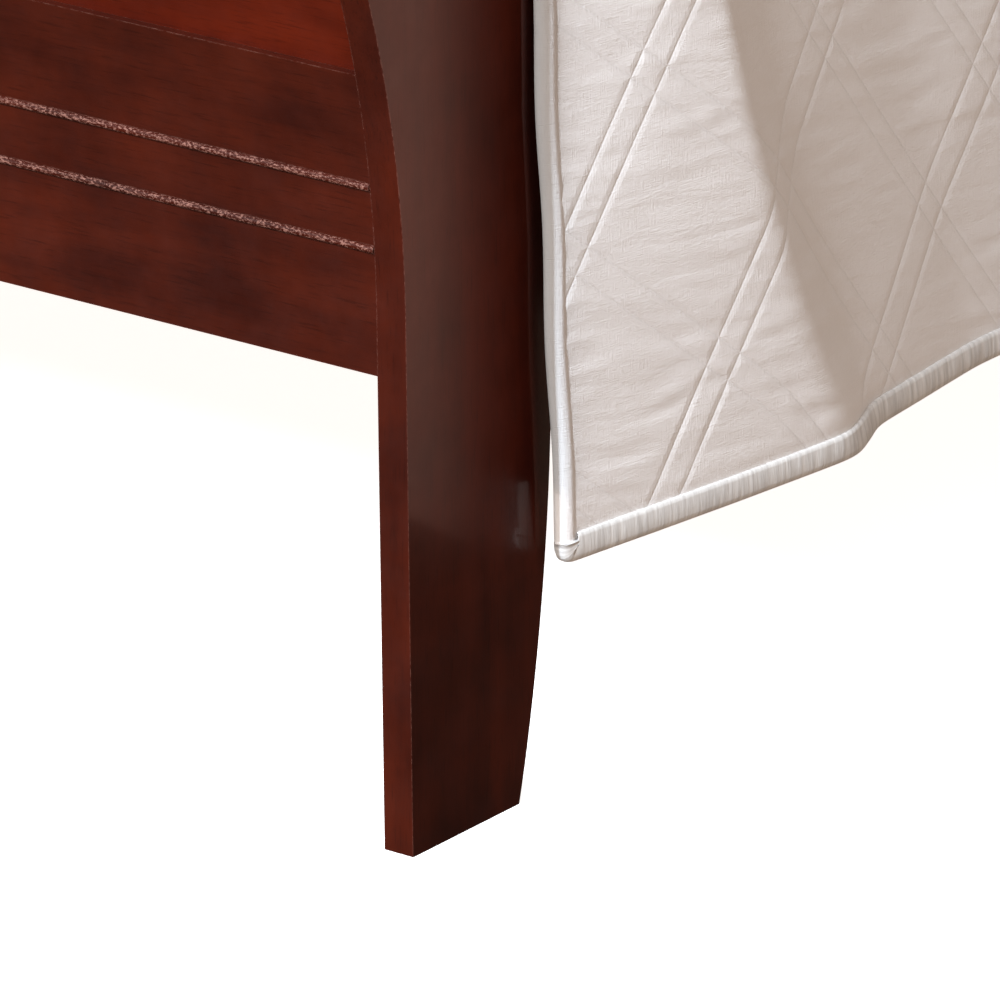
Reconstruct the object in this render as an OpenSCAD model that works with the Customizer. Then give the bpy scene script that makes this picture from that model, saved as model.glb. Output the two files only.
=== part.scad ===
// Sleigh bed, queen size, with its mattress and quilt.
// The curled headboard and footboard stand on slab posts, the side rails hook
// onto the posts, and slats lie on ledges and on a centre rail with three legs.
// X runs across the bed, the foot end is at -Y, the head end at +Y, and Z is up.
// The origin is on the floor, at the middle of the outside box.

/* [Mattress] */
// Mattress width
mattress_w = 1524; // [990:1:1930]
// Mattress length
mattress_l = 2032; // [1900:1:2130]
// Mattress thickness
mattress_t = 240; // [180:5:300]

/* [Headboard] */
// Height of the headboard
headboard_h = 1220; // [1100:5:1300]
// Radius of the curled top of the headboard
headboard_roll_r = 55; // [50:1:65]
// How far the curl of the headboard leans out, to the middle of its roll
headboard_lean = 140; // [120:1:150]

/* [Footboard] */
// Height of the footboard
footboard_h = 740; // [720:5:780]
// Radius of the curled top of the footboard
footboard_roll_r = 45; // [42:1:50]
// How far the curl of the footboard leans out, to the middle of its roll
footboard_lean = 88; // [80:1:95]

/* [Posts] */
// Thickness of the slab posts, across the bed
post_t = 20.5; // [20:0.5:30]
// Width of the posts along the bed, where the side rails meet them
post_w = 132; // [125:1:150]
// Width of the posts at the floor
post_foot_w = 98.5; // [80:0.5:110]

/* [Rails] */
// Height of the rails' underside above the floor
rail_z = 283.5; // [270:0.5:300]
// Height of the bottom rails of the headboard and footboard
end_rail_h = 180; // [170:1:190]
// Thickness of those bottom rails at their lower edge
end_rail_t = 28; // [26:1:32]
// Height of the side rails
side_rail_h = 150; // [140:1:155]
// Thickness of the side rails
side_rail_t = 20; // [18:0.5:20]
// Height of the lower bead above the rail's lower edge
bead_low_h = 74.5; // [60:0.5:80]
// Distance between the two beads
bead_pitch = 37.2; // [30:0.1:45]
// Diameter of the bead rods let into the bottom rails
bead_d = 4.6; // [4:0.1:6]

/* [Panels] */
// Thickness of the curved panels
panel_t = 12; // [9:1:15]
// How far the panels lie behind the front of the posts
panel_recess = 6.5; // [4:0.5:8]

/* [Slats and centre rail] */
// Number of slats
slat_count = 13; // [13]
// Width of a slat
slat_w = 70; // [60:1:80]
// Thickness of a slat
slat_t = 18; // [15:1:20]
// Width of the centre rail
centre_w = 38; // [34:1:44]
// Height of the centre rail
centre_h = 64; // [60:1:64]
// Side of the square centre legs
leg_side = 44; // [40:1:50]

/* [Quilt] */
// Thickness of the quilt where it lies flat
quilt_t = 11; // [8:1:14]
// Height of the quilt's hem above the floor
hem_z = 142; // [100:1:200]
// Width of the satin binding
binding_w = 17; // [12:1:25]
// How far the quilt's hem hangs out beyond the top of its fall
quilt_flare = 16; // [0:1:30]
// How far the quilt reaches over the outside of the foot posts
quilt_overlap = 14; // [0:1:30]

/* [Hidden] */
NODES = [
    "headboard_post_left", "headboard_post_right", "headboard_bottom_rail",
    "headboard_beads", "headboard_panel", "headboard_top_roll", "headboard_dowels",
    "footboard_post_left", "footboard_post_right", "footboard_bottom_rail",
    "footboard_beads", "footboard_panel", "footboard_top_roll", "footboard_dowels",
    "side_rail_left", "side_rail_right", "slat_ledge_left", "slat_ledge_right",
    "ledge_screws",
    "rail_hook_foot_left", "rail_hook_foot_right",
    "rail_hook_head_left", "rail_hook_head_right",
    "strike_plates", "rail_hook_screws", "strike_plate_screws",
    "slat_01", "slat_02", "slat_03", "slat_04", "slat_05", "slat_06", "slat_07",
    "slat_08", "slat_09", "slat_10", "slat_11", "slat_12", "slat_13",
    "slat_screws",
    "centre_rail", "centre_bracket_foot", "centre_bracket_head", "bracket_screws",
    "centre_leg_foot", "centre_leg_middle", "centre_leg_head",
    "leg_bolts", "leveller_inserts",
    "leveller_stem_foot", "leveller_stem_middle", "leveller_stem_head",
    "leveller_pad_foot", "leveller_pad_middle", "leveller_pad_head",
    "mattress", "quilt", "quilt_binding",
];

// Place of the first slat in the list above
first_slat = search(["slat_01"], NODES)[0];

// Clearance round dowels, screws and bolts, and at housed edges
fit = 0.05;
// Overshoot that lets a cut break cleanly through a face
cut = 1;

// Half the clear width between the rails and between the posts
side_clear = 8;
inner_x = mattress_w / 2 + side_clear;
outer_x = inner_x + post_t;

// Ends of the bed, as the planes of the lower fronts of the posts
foot_gap = 20;
head_gap = 10;
ends_apart = mattress_l + foot_gap + head_gap + 2 * end_rail_t;
foot_reach = footboard_lean + footboard_roll_r;
head_reach = headboard_lean + headboard_roll_r;
bed_l = ends_apart + foot_reach + head_reach;
foot_y = -bed_l / 2 + foot_reach;
head_y = bed_l / 2 - head_reach;

// Each end is [height, roll radius, lean, start of outer curve, sweep of inner curve]
HEAD = [headboard_h, headboard_roll_r, headboard_lean, 480, 30];
FOOT = [footboard_h, footboard_roll_r, footboard_lean, 320, 35];
bend_above_rail = 8;
inner_bend_z = rail_z + side_rail_h + bend_above_rail;

// The inner curve of a post below its parallel part, as a cubic's ends and pulls
taper_top_z = 240;
taper_upper_pull = [3, 140];
taper_lower_pull = [13.5, 50];

// Heights of the slatted base
ledge_w = 28;
ledge_h = 30;
slat_above_rail = 68;
slat_z = rail_z + slat_above_rail;
mattress_z = slat_z + slat_t;
mattress_top = mattress_z + mattress_t;
mattress_edge_r = 30;
mattress_corner_r = 60;

// Housing depths
housing = 6;
tongue = 10;
panel_in_roll = 16;

// Dowels between the posts and the rails and rolls
dowel_d = 8;
dowel_in_post = 12;
dowel_in_rail = 28;
dowel_zs = [25, 150];

// Bed hooks and the strike plates that they drop into
plate_w = 16;
plate_h = 110;
hook_plate_t = 2.5;
strike_t = 2;
hook_t = 3;
hook_zs = [-32, 14];
hook_below = 4;
hook_above = 12;
hook_out = 10;
hook_corner = 4;
hook_root = 0.5;
hook_play = 0.4;
slot_play = 0.5;
slot_h = 25.5;
pocket_depth = 14;
pocket_below = 14;
pocket_h = 37;
plate_screw_zs = [-49, -6.5, 48];
plate_z = rail_z + side_rail_h / 2;
hook_drop = 9;

// Wood screws
screw_d = 3.5;
screw_head_d = 7;
screw_head_h = 2.3;
join = 0.01;
ledge_screw_l = 40;
slat_screw_l = 30;
bracket_screw_l = 20;
strike_screw_l = 20;
hook_screw_l = 25;

// Centre brackets
bracket_t = 2;
bracket_wing = 16;
bracket_plate_h = 58;
bracket_cheek_h = 50;
bracket_depth = 36;
bracket_screw_zs = [14, 44];
bracket_clear = 0.5;

// Centre legs and their levelling feet
leg_ys = [-640, 0, 640];
leg_bottom = 30;
thread_d = 8;
insert_d = 12;
insert_h = 15;
flange_d = 16;
flange_h = 1.5;
pad_d = 40;
pad_h = 8;
pad_rim_h = 5;
pad_taper = 14;
pad_floor = 3.4;
swivel_d = 9;
swivel_play = 0.1;
nut_w = 13;
nut_h = 5;
nut_gap = 0.5;
stem_l = 58;
stem_hole_l = 70;
bolt_l = 70;

// Quilt
quilt_gap = 0.5;
rail_clear = 3.5;
foot_post_clear = 4;
head_post_clear = 8;
quilt_foot_y = foot_y + post_w + foot_post_clear;
quilt_head_y = head_y - post_w - head_post_clear;
tuck_z = 420;
fall_drop = 95;
reach_drop = 6;
foot_flap_clear = 8;

WOOD = [0.36, 0.11, 0.06];
PANEL_WOOD = [0.42, 0.13, 0.06];
PINE = [0.80, 0.65, 0.45];
STEEL = [0.60, 0.60, 0.58];

// Points along an arc in degrees, about [cx, cy]
function arc_points(cx, cy, r, from, to, steps) =
    [for (i = [0 : steps]) let (a = from + (to - from) * i / steps)
        [cx + r * cos(a), cy + r * sin(a)]];

// Points along a cubic curve between two ends
function cubic_points(a, b, c, d, steps) =
    [for (i = [0 : steps]) let (t = i / steps, s = 1 - t)
        a * s * s * s + 3 * b * s * s * t + 3 * c * s * t * t + d * t * t * t];

// The outer curve of an end: vertical, then one arc that meets the foot of the roll
function end_height(e) = e[0];
function roll_r(e) = e[1];
function lean(e) = e[2];
function curve_z(e) = e[3];
function curve_rise(e) = end_height(e) - 2 * roll_r(e) - curve_z(e);
function curve_r(e) = (lean(e) * lean(e) + curve_rise(e) * curve_rise(e)) / (2 * lean(e));
function curve_sweep(e, z) = asin((z - curve_z(e)) / curve_r(e));

// The inner curve: two arcs, tangent to each other and to the top of the roll
function inner_rise(e) = end_height(e) - inner_bend_z;
function inner_run(e) = lean(e) + post_w;
function inner_det(e) = let (a = e[4]) sin(a) * cos(a) - (1 - sin(a)) * (1 - cos(a));
function inner_r1(e) = let (a = e[4])
    (inner_rise(e) * cos(a) - inner_run(e) * (1 - sin(a))) / inner_det(e);
function inner_r2(e) = let (a = e[4])
    (inner_run(e) * sin(a) - inner_rise(e) * (1 - cos(a))) / inner_det(e);

// Outline of a post in [outward, up], with its foot at the origin
function post_outline(e) =
    let (a = e[4], r = curve_r(e), r1 = inner_r1(e), r2 = inner_r2(e))
    concat(
        [[0, 0]],
        arc_points(r, curve_z(e), r, 180, 180 - curve_sweep(e, end_height(e) - 2 * roll_r(e)), 40),
        arc_points(lean(e), end_height(e) - r2, r2, 90, 180 - a, 30),
        arc_points(r1 - post_w, inner_bend_z, r1, 180 - a, 180, 30),
        cubic_points([-post_w, taper_top_z], [taper_upper_pull[0] - post_w, taper_upper_pull[1]],
            [-post_foot_w - taper_lower_pull[0], taper_lower_pull[1]], [-post_foot_w, 0], 20)
    );

// A band between two depths behind the outer curve, from one height to another
function band_outline(e, near, far, z0, z1) =
    let (c = curve_z(e), r = curve_r(e), z_arc = max(z0, c))
    concat(
        z0 < c ? [[-near, z0]] : [],
        arc_points(r, c, r + near, 180 - curve_sweep(e, z_arc), 180 - curve_sweep(e, z1), 32),
        arc_points(r, c, r + far, 180 - curve_sweep(e, z1), 180 - curve_sweep(e, z_arc), 32),
        z0 < c ? [[-far, z0]] : []
    );

// Depth of the outer curve in front of the post's lower front, at a height
function curve_out(e, z) = z < curve_z(e) ? 0 : curve_r(e) * (1 - cos(curve_sweep(e, z)));

// Puts a shape drawn in [across, outward, up] at the foot or head end
module at_end(e) {
    if (e == HEAD) translate([0, head_y, 0]) children();
    else translate([0, foot_y, 0]) mirror([0, 1, 0]) children();
}

// Stretches an outline in [outward, up] across the bed between two places
module across(x0, x1) {
    translate([x0, 0, 0]) rotate([90, 0, 90]) linear_extrude(x1 - x0) children();
}

// A rod that runs across the bed
module rod_across(x0, x1, d, steps = 48) {
    translate([x0, 0, 0]) rotate([0, 90, 0]) cylinder(d = d, h = x1 - x0, $fn = steps);
}

// Keeps the left side of the bed for -1, and the right side for 1
module on_side(side) {
    if (side > 0) children();
    else mirror([1, 0, 0]) children();
}

// Screw with its head's face at the origin and its point down
module screw(length, grow = 0) {
    translate([0, 0, -screw_head_h])
        cylinder(d1 = screw_d + 2 * grow, d2 = screw_head_d + 2 * grow, h = screw_head_h, $fn = 24);
    translate([0, 0, -length - grow])
        cylinder(d = screw_d + 2 * grow, h = length - screw_head_h + grow + join, $fn = 24);
}

// ---- Headboard and footboard ----

panel_z0 = rail_z + end_rail_h - tongue;

// Where the panel's top edge ends, inside the roll
function panel_z1(e) = end_height(e) - 2 * roll_r(e) + panel_in_roll;

module panel_shape(e, grow, x) {
    across(-x, x)
        polygon(band_outline(e, panel_recess - grow, panel_recess + panel_t + grow,
            panel_z0 - grow, panel_z1(e) + grow));
}

// The dowel places of one end, as [outward, up]
function dowel_places(e) = [
    [-end_rail_t / 2, rail_z + dowel_zs[0]],
    [-end_rail_t / 2, rail_z + dowel_zs[1]],
    [lean(e) - roll_r(e) / 2, end_height(e) - roll_r(e)],
    [lean(e) + roll_r(e) / 2, end_height(e) - roll_r(e)],
];

module end_dowels(e, grow = 0) {
    for (side = [-1, 1], place = dowel_places(e))
        on_side(side) translate([0, place[0], place[1]])
            rod_across(inner_x - dowel_in_rail - grow, inner_x + dowel_in_post + grow,
                dowel_d + 2 * grow, 24);
}

module strike_plate(grow = 0) {
    translate([0, -strike_t, 0])
    difference() {
        translate([-plate_w / 2 - grow, -grow, -plate_h / 2 - grow])
            cube([plate_w + 2 * grow, strike_t + 2 * grow, plate_h + 2 * grow]);
        if (grow == 0) {
            for (z = hook_zs)
                translate([-hook_t / 2 - slot_play, -cut, z - hook_below])
                    cube([hook_t + 2 * slot_play, strike_t + 2 * cut, slot_h]);
            for (z = plate_screw_zs)
                translate([0, strike_t, z]) rotate([-90, 0, 0]) screw(strike_screw_l, fit);
        }
    }
}

// Puts a plate's parts on the rear face of a post, facing the side rail
module on_post_rear(side) {
    on_side(side) translate([inner_x + side_rail_t / 2, -post_w, plate_z])
        mirror([0, 1, 0]) children();
}

module end_post(e, side) {
    color(WOOD) at_end(e) difference() {
        union() {
            on_side(side) across(inner_x, outer_x) polygon(post_outline(e));
            on_side(side) translate([0, lean(e), end_height(e) - roll_r(e)])
                rod_across(inner_x, outer_x, 2 * roll_r(e), 96);
        }
        panel_shape(e, fit, inner_x + housing + fit);
        end_dowels(e, fit);
        on_post_rear(side) {
            strike_plate(fit);
            for (z = hook_zs)
                translate([-hook_t / 2 - cut, -strike_t - pocket_depth, z - pocket_below])
                    cube([hook_t + 2 * cut, pocket_depth + cut, pocket_h]);
            for (z = plate_screw_zs)
                translate([0, 0, z]) rotate([-90, 0, 0]) screw(strike_screw_l, fit);
        }
    }
}

// Bottom rail: its front follows the curve, and its back is flat
function end_rail_outline(e) =
    let (r = curve_r(e), c = curve_z(e), z1 = rail_z + end_rail_h, inset = 0.4)
    concat(
        [[-end_rail_t, rail_z], [-inset, rail_z]],
        z1 > c
            ? arc_points(r, c, r + inset, 180, 180 - curve_sweep(e, z1), 16)
            : [[-inset, z1]],
        [[-end_rail_t, z1]]
    );

// Places of the bead rods in [outward, up]: their middles lie just behind the face
bead_sink = 0.5;
function bead_places(e) =
    [for (h = [bead_low_h, bead_low_h + bead_pitch])
        [curve_out(e, rail_z + h) - bead_sink, rail_z + h]];

module end_beads(e, grow = 0) {
    for (place = bead_places(e))
        translate([0, place[0], place[1]])
            rod_across(-inner_x - grow, inner_x + grow, bead_d + 2 * grow, 32);
}

module end_bottom_rail(e) {
    color(WOOD) at_end(e) difference() {
        across(-inner_x, inner_x) polygon(end_rail_outline(e));
        panel_shape(e, fit, inner_x + housing + fit);
        end_beads(e, fit);
        end_dowels(e, fit);
        bracket_screws_at(grow = fit);
    }
}

module end_panel(e) {
    color(PANEL_WOOD) at_end(e) panel_shape(e, 0, inner_x + housing);
}

module end_top_roll(e) {
    proud = 1;
    color(WOOD) at_end(e) difference() {
        translate([0, lean(e), end_height(e) - roll_r(e)])
            rod_across(-inner_x, inner_x, 2 * (roll_r(e) - proud), 128);
        panel_shape(e, fit, inner_x + housing + fit);
        end_dowels(e, fit);
    }
}

// ---- Side rails, ledges and bed hooks ----

rail_y0 = foot_y + post_w;
rail_y1 = head_y - post_w;
ledge_screw_gaps = 6;
ledge_screw_end = 60;
ledge_screw_pitch = (rail_y1 - rail_y0 - 2 * ledge_screw_end) / ledge_screw_gaps;
ledge_screw_ys = [for (i = [0 : ledge_screw_gaps]) rail_y0 + ledge_screw_end + i * ledge_screw_pitch];

module ledge_screws_on(side, grow = 0) {
    for (y = ledge_screw_ys)
        on_side(side) translate([inner_x - ledge_w, y, slat_z - ledge_h / 2])
            rotate([0, -90, 0]) screw(ledge_screw_l, grow);
}

// Plate and its two hooks, with the rail's end face at the origin and the post beyond +Y
module rail_hook() {
    difference() {
        translate([-plate_w / 2, -hook_plate_t, -plate_h / 2])
            cube([plate_w, hook_plate_t, plate_h]);
        for (z = plate_screw_zs)
            translate([0, 0, z]) rotate([-90, 0, 0]) screw(hook_screw_l, fit);
    }
    for (z = hook_zs)
        translate([-hook_t / 2, 0, z])
            rotate([90, 0, 90]) linear_extrude(hook_t)
                polygon([
                    [-hook_root, -hook_below],
                    [strike_t + hook_play, -hook_below],
                    [strike_t + hook_play, -hook_below - hook_drop],
                    [hook_out, 1 - hook_drop],
                    [hook_out, hook_above - hook_corner],
                    [hook_out - hook_corner, hook_above],
                    [-hook_root, hook_above],
                ]);
}

// Puts a plate's parts on the end face of a side rail, facing the post
module on_rail_end(e, side) {
    at_end(e) on_side(side) translate([inner_x + side_rail_t / 2, -post_w, plate_z])
        children();
}

module plate_screws(length, grow = 0) {
    for (z = plate_screw_zs)
        translate([0, 0, z]) rotate([-90, 0, 0]) screw(length, grow);
}

module side_rail(side) {
    color(WOOD) difference() {
        on_side(side) translate([inner_x, rail_y0, rail_z])
            cube([side_rail_t, rail_y1 - rail_y0, side_rail_h]);
        ledge_screws_on(side, fit);
        for (e = [HEAD, FOOT])
            on_rail_end(e, side) {
                translate([-plate_w / 2 - fit, -hook_plate_t - fit, -plate_h / 2 - fit])
                    cube([plate_w + 2 * fit, hook_plate_t + cut, plate_h + 2 * fit]);
                plate_screws(hook_screw_l, fit);
            }
    }
}

module slat_ledge(side) {
    end_clear = 6;
    color(PINE) difference() {
        on_side(side)
            translate([inner_x - ledge_w, foot_y + end_rail_t + end_clear, slat_z - ledge_h])
                cube([ledge_w, ends_apart - 2 * (end_rail_t + end_clear), ledge_h]);
        ledge_screws_on(side, fit);
        slat_screws_at(fit);
    }
}

// ---- Slats ----

slat_end = 60;
slat_y0 = foot_y + end_rail_t + slat_end;
slat_pitch = (ends_apart - 2 * end_rail_t - 2 * slat_end) / (slat_count - 1);
slat_end_clear = 2;

function slat_y(i) = slat_y0 + i * slat_pitch;

module slat_screws_at(grow = 0) {
    for (side = [-1, 1], i = [0 : slat_count - 1])
        on_side(side) translate([inner_x - ledge_w / 2, slat_y(i), slat_z + slat_t])
            screw(slat_screw_l, grow);
}

module slat(i) {
    color(PINE) difference() {
        translate([-inner_x + slat_end_clear, slat_y(i) - slat_w / 2, slat_z])
            cube([2 * (inner_x - slat_end_clear), slat_w, slat_t]);
        for (side = [-1, 1])
            on_side(side) translate([inner_x - ledge_w / 2, slat_y(i), slat_z + slat_t])
                screw(slat_screw_l, fit);
    }
}

// ---- Centre rail, its brackets and its legs ----

centre_z = slat_z - centre_h;

module centre_rail() {
    color(PINE) difference() {
        translate([-centre_w / 2, foot_y + end_rail_t + bracket_t + bracket_clear, centre_z])
            cube([centre_w, ends_apart - 2 * (end_rail_t + bracket_t + bracket_clear), centre_h]);
        leg_bolts(fit);
    }
}

// Places of a bracket's screws beside the centre rail, in [across, up]
bracket_places = [for (side = [-1, 1], z = bracket_screw_zs)
    [side * (centre_w / 2 + bracket_t + bracket_wing / 2), centre_z + z]];

module bracket_screws_at(grow = 0) {
    for (place = bracket_places)
        translate([place[0], -end_rail_t - bracket_t, place[1]])
            rotate([90, 0, 0]) screw(bracket_screw_l, grow);
}

// Folded steel hanger: a back plate, two cheeks and a floor that holds the rail's end
module centre_bracket(e) {
    inner = centre_w + 2 * fit;
    wide = inner + 2 * bracket_t;
    color(STEEL) at_end(e) difference() {
        union() {
            translate([-wide / 2 - bracket_wing, -end_rail_t - bracket_t, centre_z])
                cube([wide + 2 * bracket_wing, bracket_t, bracket_plate_h]);
            translate([-wide / 2, -end_rail_t - bracket_depth, centre_z - bracket_t])
                cube([wide, bracket_depth, bracket_t]);
            for (x = [-wide / 2, inner / 2])
                translate([x, -end_rail_t - bracket_depth, centre_z - bracket_t])
                    cube([bracket_t, bracket_depth, bracket_cheek_h]);
        }
        bracket_screws_at(fit);
    }
}

module centre_leg(y) {
    color(PINE) difference() {
        translate([-leg_side / 2, y - leg_side / 2, leg_bottom])
            cube([leg_side, leg_side, centre_z - leg_bottom]);
        leg_bolts(fit);
        translate([0, y, leg_bottom]) {
            translate([0, 0, -cut]) cylinder(d = thread_d + 1, h = stem_hole_l + cut, $fn = 32);
            translate([0, 0, -cut]) cylinder(d = insert_d + 2 * fit, h = insert_h + cut, $fn = 32);
        }
    }
}

module leg_bolts(grow = 0) {
    for (y = leg_ys)
        translate([0, y, centre_z - bolt_l / 2 - grow])
            cylinder(d = thread_d + 2 * grow, h = bolt_l + 2 * grow, $fn = 32);
}

// Threaded inserts with a flange under each leg
module leveller_inserts() {
    color(STEEL) for (y = leg_ys)
        translate([0, y, leg_bottom]) difference() {
            union() {
                cylinder(d = insert_d, h = insert_h, $fn = 32);
                translate([0, 0, -flange_h]) cylinder(d = flange_d, h = flange_h, $fn = 32);
            }
            translate([0, 0, -flange_h - cut])
                cylinder(d = thread_d + 2 * fit, h = insert_h + flange_h + 2 * cut, $fn = 32);
        }
}

// Threaded stem with a hexagon to turn it by, and a swivel end held in the pad
module leveller_stem(y) {
    swivel_z = pad_floor + swivel_play;
    nut_z = pad_h + nut_gap;
    color(STEEL) translate([0, y, 0]) {
        translate([0, 0, swivel_z]) cylinder(d = swivel_d, h = nut_z - swivel_z, $fn = 32);
        translate([0, 0, nut_z]) cylinder(d = nut_w / cos(30), h = nut_h, $fn = 6);
        translate([0, 0, nut_z + nut_h]) cylinder(d = thread_d, h = stem_l, $fn = 32);
    }
}

module leveller_pad(y) {
    color("dimgray") translate([0, y, 0]) difference() {
        union() {
            cylinder(d = pad_d, h = pad_rim_h, $fn = 64);
            translate([0, 0, pad_rim_h])
                cylinder(d1 = pad_d, d2 = pad_d - pad_taper, h = pad_h - pad_rim_h, $fn = 64);
        }
        translate([0, 0, pad_floor]) cylinder(d = swivel_d + 2 * fit, h = pad_h, $fn = 32);
    }
}

// ---- Mattress and quilt ----

mattress_foot_y = foot_y + end_rail_t + foot_gap;

// Rectangle with round corners, centred on the origin
module rounded(w, l, r) {
    square([w - 2 * r, l], center = true);
    square([w, l - 2 * r], center = true);
    for (sx = [-1, 1], sy = [-1, 1])
        translate([sx * (w / 2 - r), sy * (l / 2 - r)]) circle(r = r, $fn = 64);
}

module mattress() {
    w = mattress_w;
    l = mattress_l;
    t = mattress_t;
    color("ivory") translate([0, mattress_foot_y + l / 2, mattress_z + t / 2])
        intersection() {
            translate([0, 0, -t / 2]) linear_extrude(t) rounded(w, l, mattress_corner_r);
            rotate([90, 0, 0]) translate([0, 0, -l / 2 - cut])
                linear_extrude(l + 2 * cut) rounded(w, t, mattress_edge_r);
            rotate([90, 0, 90]) translate([0, 0, -w / 2 - cut])
                linear_extrude(w + 2 * cut) rounded(l, t, mattress_edge_r);
        }
}

// The side of the quilt in [across, up]: round the mattress edge, out past the rail
edge_x = mattress_w / 2 - mattress_edge_r;
edge_z = mattress_top - mattress_edge_r;
fall_x = inner_x + side_rail_t + rail_clear;
fall_z = mattress_top - fall_drop;
edge_gap_r = mattress_edge_r + quilt_gap;
reach_top = fall_z - reach_drop;
fall_angle = atan2(fall_z - edge_z, fall_x - edge_x)
    + acos(edge_gap_r / norm([fall_x - edge_x, fall_z - edge_z]));

// Points along the quilt's side at a distance above its underside
function fall_points(off) = concat(
    arc_points(edge_x, edge_z, edge_gap_r + off, 90, fall_angle, 12),
    [[fall_x + off, fall_z + off * tan(fall_angle / 2)], [fall_x + off + quilt_flare, hem_z]]
);

function reversed(list) = [for (i = [len(list) - 1 : -1 : 0]) list[i]];

module quilt_section(thickness) {
    half = concat([[-cut, edge_z + edge_gap_r + thickness]], fall_points(thickness),
        reversed(fall_points(0)), [[-cut, edge_z + edge_gap_r]]);
    polygon(half);
    mirror([1, 0]) polygon(half);
}

module along(y0, y1) {
    translate([0, y1, 0]) rotate([90, 0, 0]) linear_extrude(y1 - y0) children();
}

// The two falls and the top, with the part of each fall that reaches over a foot post
module quilt_cover(thickness) {
    along(quilt_foot_y, quilt_head_y) quilt_section(thickness);
    along(quilt_foot_y - foot_post_clear - quilt_overlap, quilt_foot_y + cut) intersection() {
        quilt_section(thickness);
        translate([-2 * fall_x, 0]) square([4 * fall_x, reach_top]);
    }
}

// The bound edge: the hem of each fall, and the head edge
module bound_zone() {
    wide = 4 * fall_x;
    translate([-wide / 2, foot_y, hem_z - cut]) cube([wide, ends_apart, binding_w + cut]);
    translate([-wide / 2, quilt_head_y - binding_w, 0]) cube([wide, binding_w + cut, headboard_h]);
}

// The foot of the quilt lies between the posts and is tucked down behind the mattress
foot_edge_y = mattress_foot_y + mattress_edge_r;
foot_half_w = inner_x - foot_flap_clear - mattress_edge_r;

module quilt() {
    top = edge_z + edge_gap_r;
    r = edge_gap_r;
    color("linen") {
        difference() {
            quilt_cover(quilt_t);
            bound_zone();
        }
        across(-foot_half_w, foot_half_w)
            polygon(concat(
                [[quilt_foot_y + cut, top], [quilt_foot_y + cut, top + quilt_t]],
                arc_points(foot_edge_y, edge_z, r + quilt_t, 90, 180, 12),
                [[foot_edge_y - r - quilt_t, tuck_z], [foot_edge_y - r, tuck_z]],
                arc_points(foot_edge_y, edge_z, r, 180, 90, 12)
            ));
    }
}

module quilt_binding() {
    color("lightgray") intersection() {
        quilt_cover(quilt_t);
        bound_zone();
    }
}

// ---- Nodes ----

module rail_hook_at(e, side) {
    color(STEEL) on_rail_end(e, side) rail_hook();
}

module headboard_post_left() { end_post(HEAD, -1); }
module headboard_post_right() { end_post(HEAD, 1); }
module headboard_bottom_rail() { end_bottom_rail(HEAD); }
module headboard_beads() { color(WOOD) at_end(HEAD) end_beads(HEAD); }
module headboard_panel() { end_panel(HEAD); }
module headboard_top_roll() { end_top_roll(HEAD); }
module headboard_dowels() { color(PINE) at_end(HEAD) end_dowels(HEAD); }
module footboard_post_left() { end_post(FOOT, -1); }
module footboard_post_right() { end_post(FOOT, 1); }
module footboard_bottom_rail() { end_bottom_rail(FOOT); }
module footboard_beads() { color(WOOD) at_end(FOOT) end_beads(FOOT); }
module footboard_panel() { end_panel(FOOT); }
module footboard_top_roll() { end_top_roll(FOOT); }
module footboard_dowels() { color(PINE) at_end(FOOT) end_dowels(FOOT); }
module ledge_screws() { color(STEEL) for (side = [-1, 1]) ledge_screws_on(side); }
module strike_plates() {
    color(STEEL) for (e = [HEAD, FOOT], side = [-1, 1])
        at_end(e) on_post_rear(side) strike_plate();
}
module rail_hook_screws() {
    color(STEEL) for (e = [HEAD, FOOT], side = [-1, 1])
        on_rail_end(e, side) plate_screws(hook_screw_l);
}
module strike_plate_screws() {
    color(STEEL) for (e = [HEAD, FOOT], side = [-1, 1])
        at_end(e) on_post_rear(side) plate_screws(strike_screw_l);
}
module slat_screws() { color(STEEL) slat_screws_at(); }
module bracket_screws() { color(STEEL) for (e = [HEAD, FOOT]) at_end(e) bracket_screws_at(); }

headboard_post_left();
headboard_post_right();
headboard_bottom_rail();
headboard_beads();
headboard_panel();
headboard_top_roll();
headboard_dowels();
footboard_post_left();
footboard_post_right();
footboard_bottom_rail();
footboard_beads();
footboard_panel();
footboard_top_roll();
footboard_dowels();
side_rail(-1);  // side_rail_left
side_rail(1);  // side_rail_right
slat_ledge(-1);  // slat_ledge_left
slat_ledge(1);  // slat_ledge_right
ledge_screws();
rail_hook_at(FOOT, -1);  // rail_hook_foot_left
rail_hook_at(FOOT, 1);  // rail_hook_foot_right
rail_hook_at(HEAD, -1);  // rail_hook_head_left
rail_hook_at(HEAD, 1);  // rail_hook_head_right
strike_plates();
rail_hook_screws();
strike_plate_screws();
for (i = [0 : slat_count - 1])
    slat(i);
slat_screws();
centre_rail();
centre_bracket(FOOT);  // centre_bracket_foot
centre_bracket(HEAD);  // centre_bracket_head
bracket_screws();
centre_leg(leg_ys[0]);  // centre_leg_foot
centre_leg(leg_ys[1]);  // centre_leg_middle
centre_leg(leg_ys[2]);  // centre_leg_head
color(STEEL) leg_bolts();
leveller_inserts();
leveller_stem(leg_ys[0]);  // leveller_stem_foot
leveller_stem(leg_ys[1]);  // leveller_stem_middle
leveller_stem(leg_ys[2]);  // leveller_stem_head
leveller_pad(leg_ys[0]);  // leveller_pad_foot
leveller_pad(leg_ys[1]);  // leveller_pad_middle
leveller_pad(leg_ys[2]);  // leveller_pad_head
mattress();
quilt();
quilt_binding();
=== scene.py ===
"""Looks of a cherry sleigh bed with its mattress and quilt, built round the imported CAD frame."""
import math

import bpy
import numpy as np
from mathutils import Matrix, Vector


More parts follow.
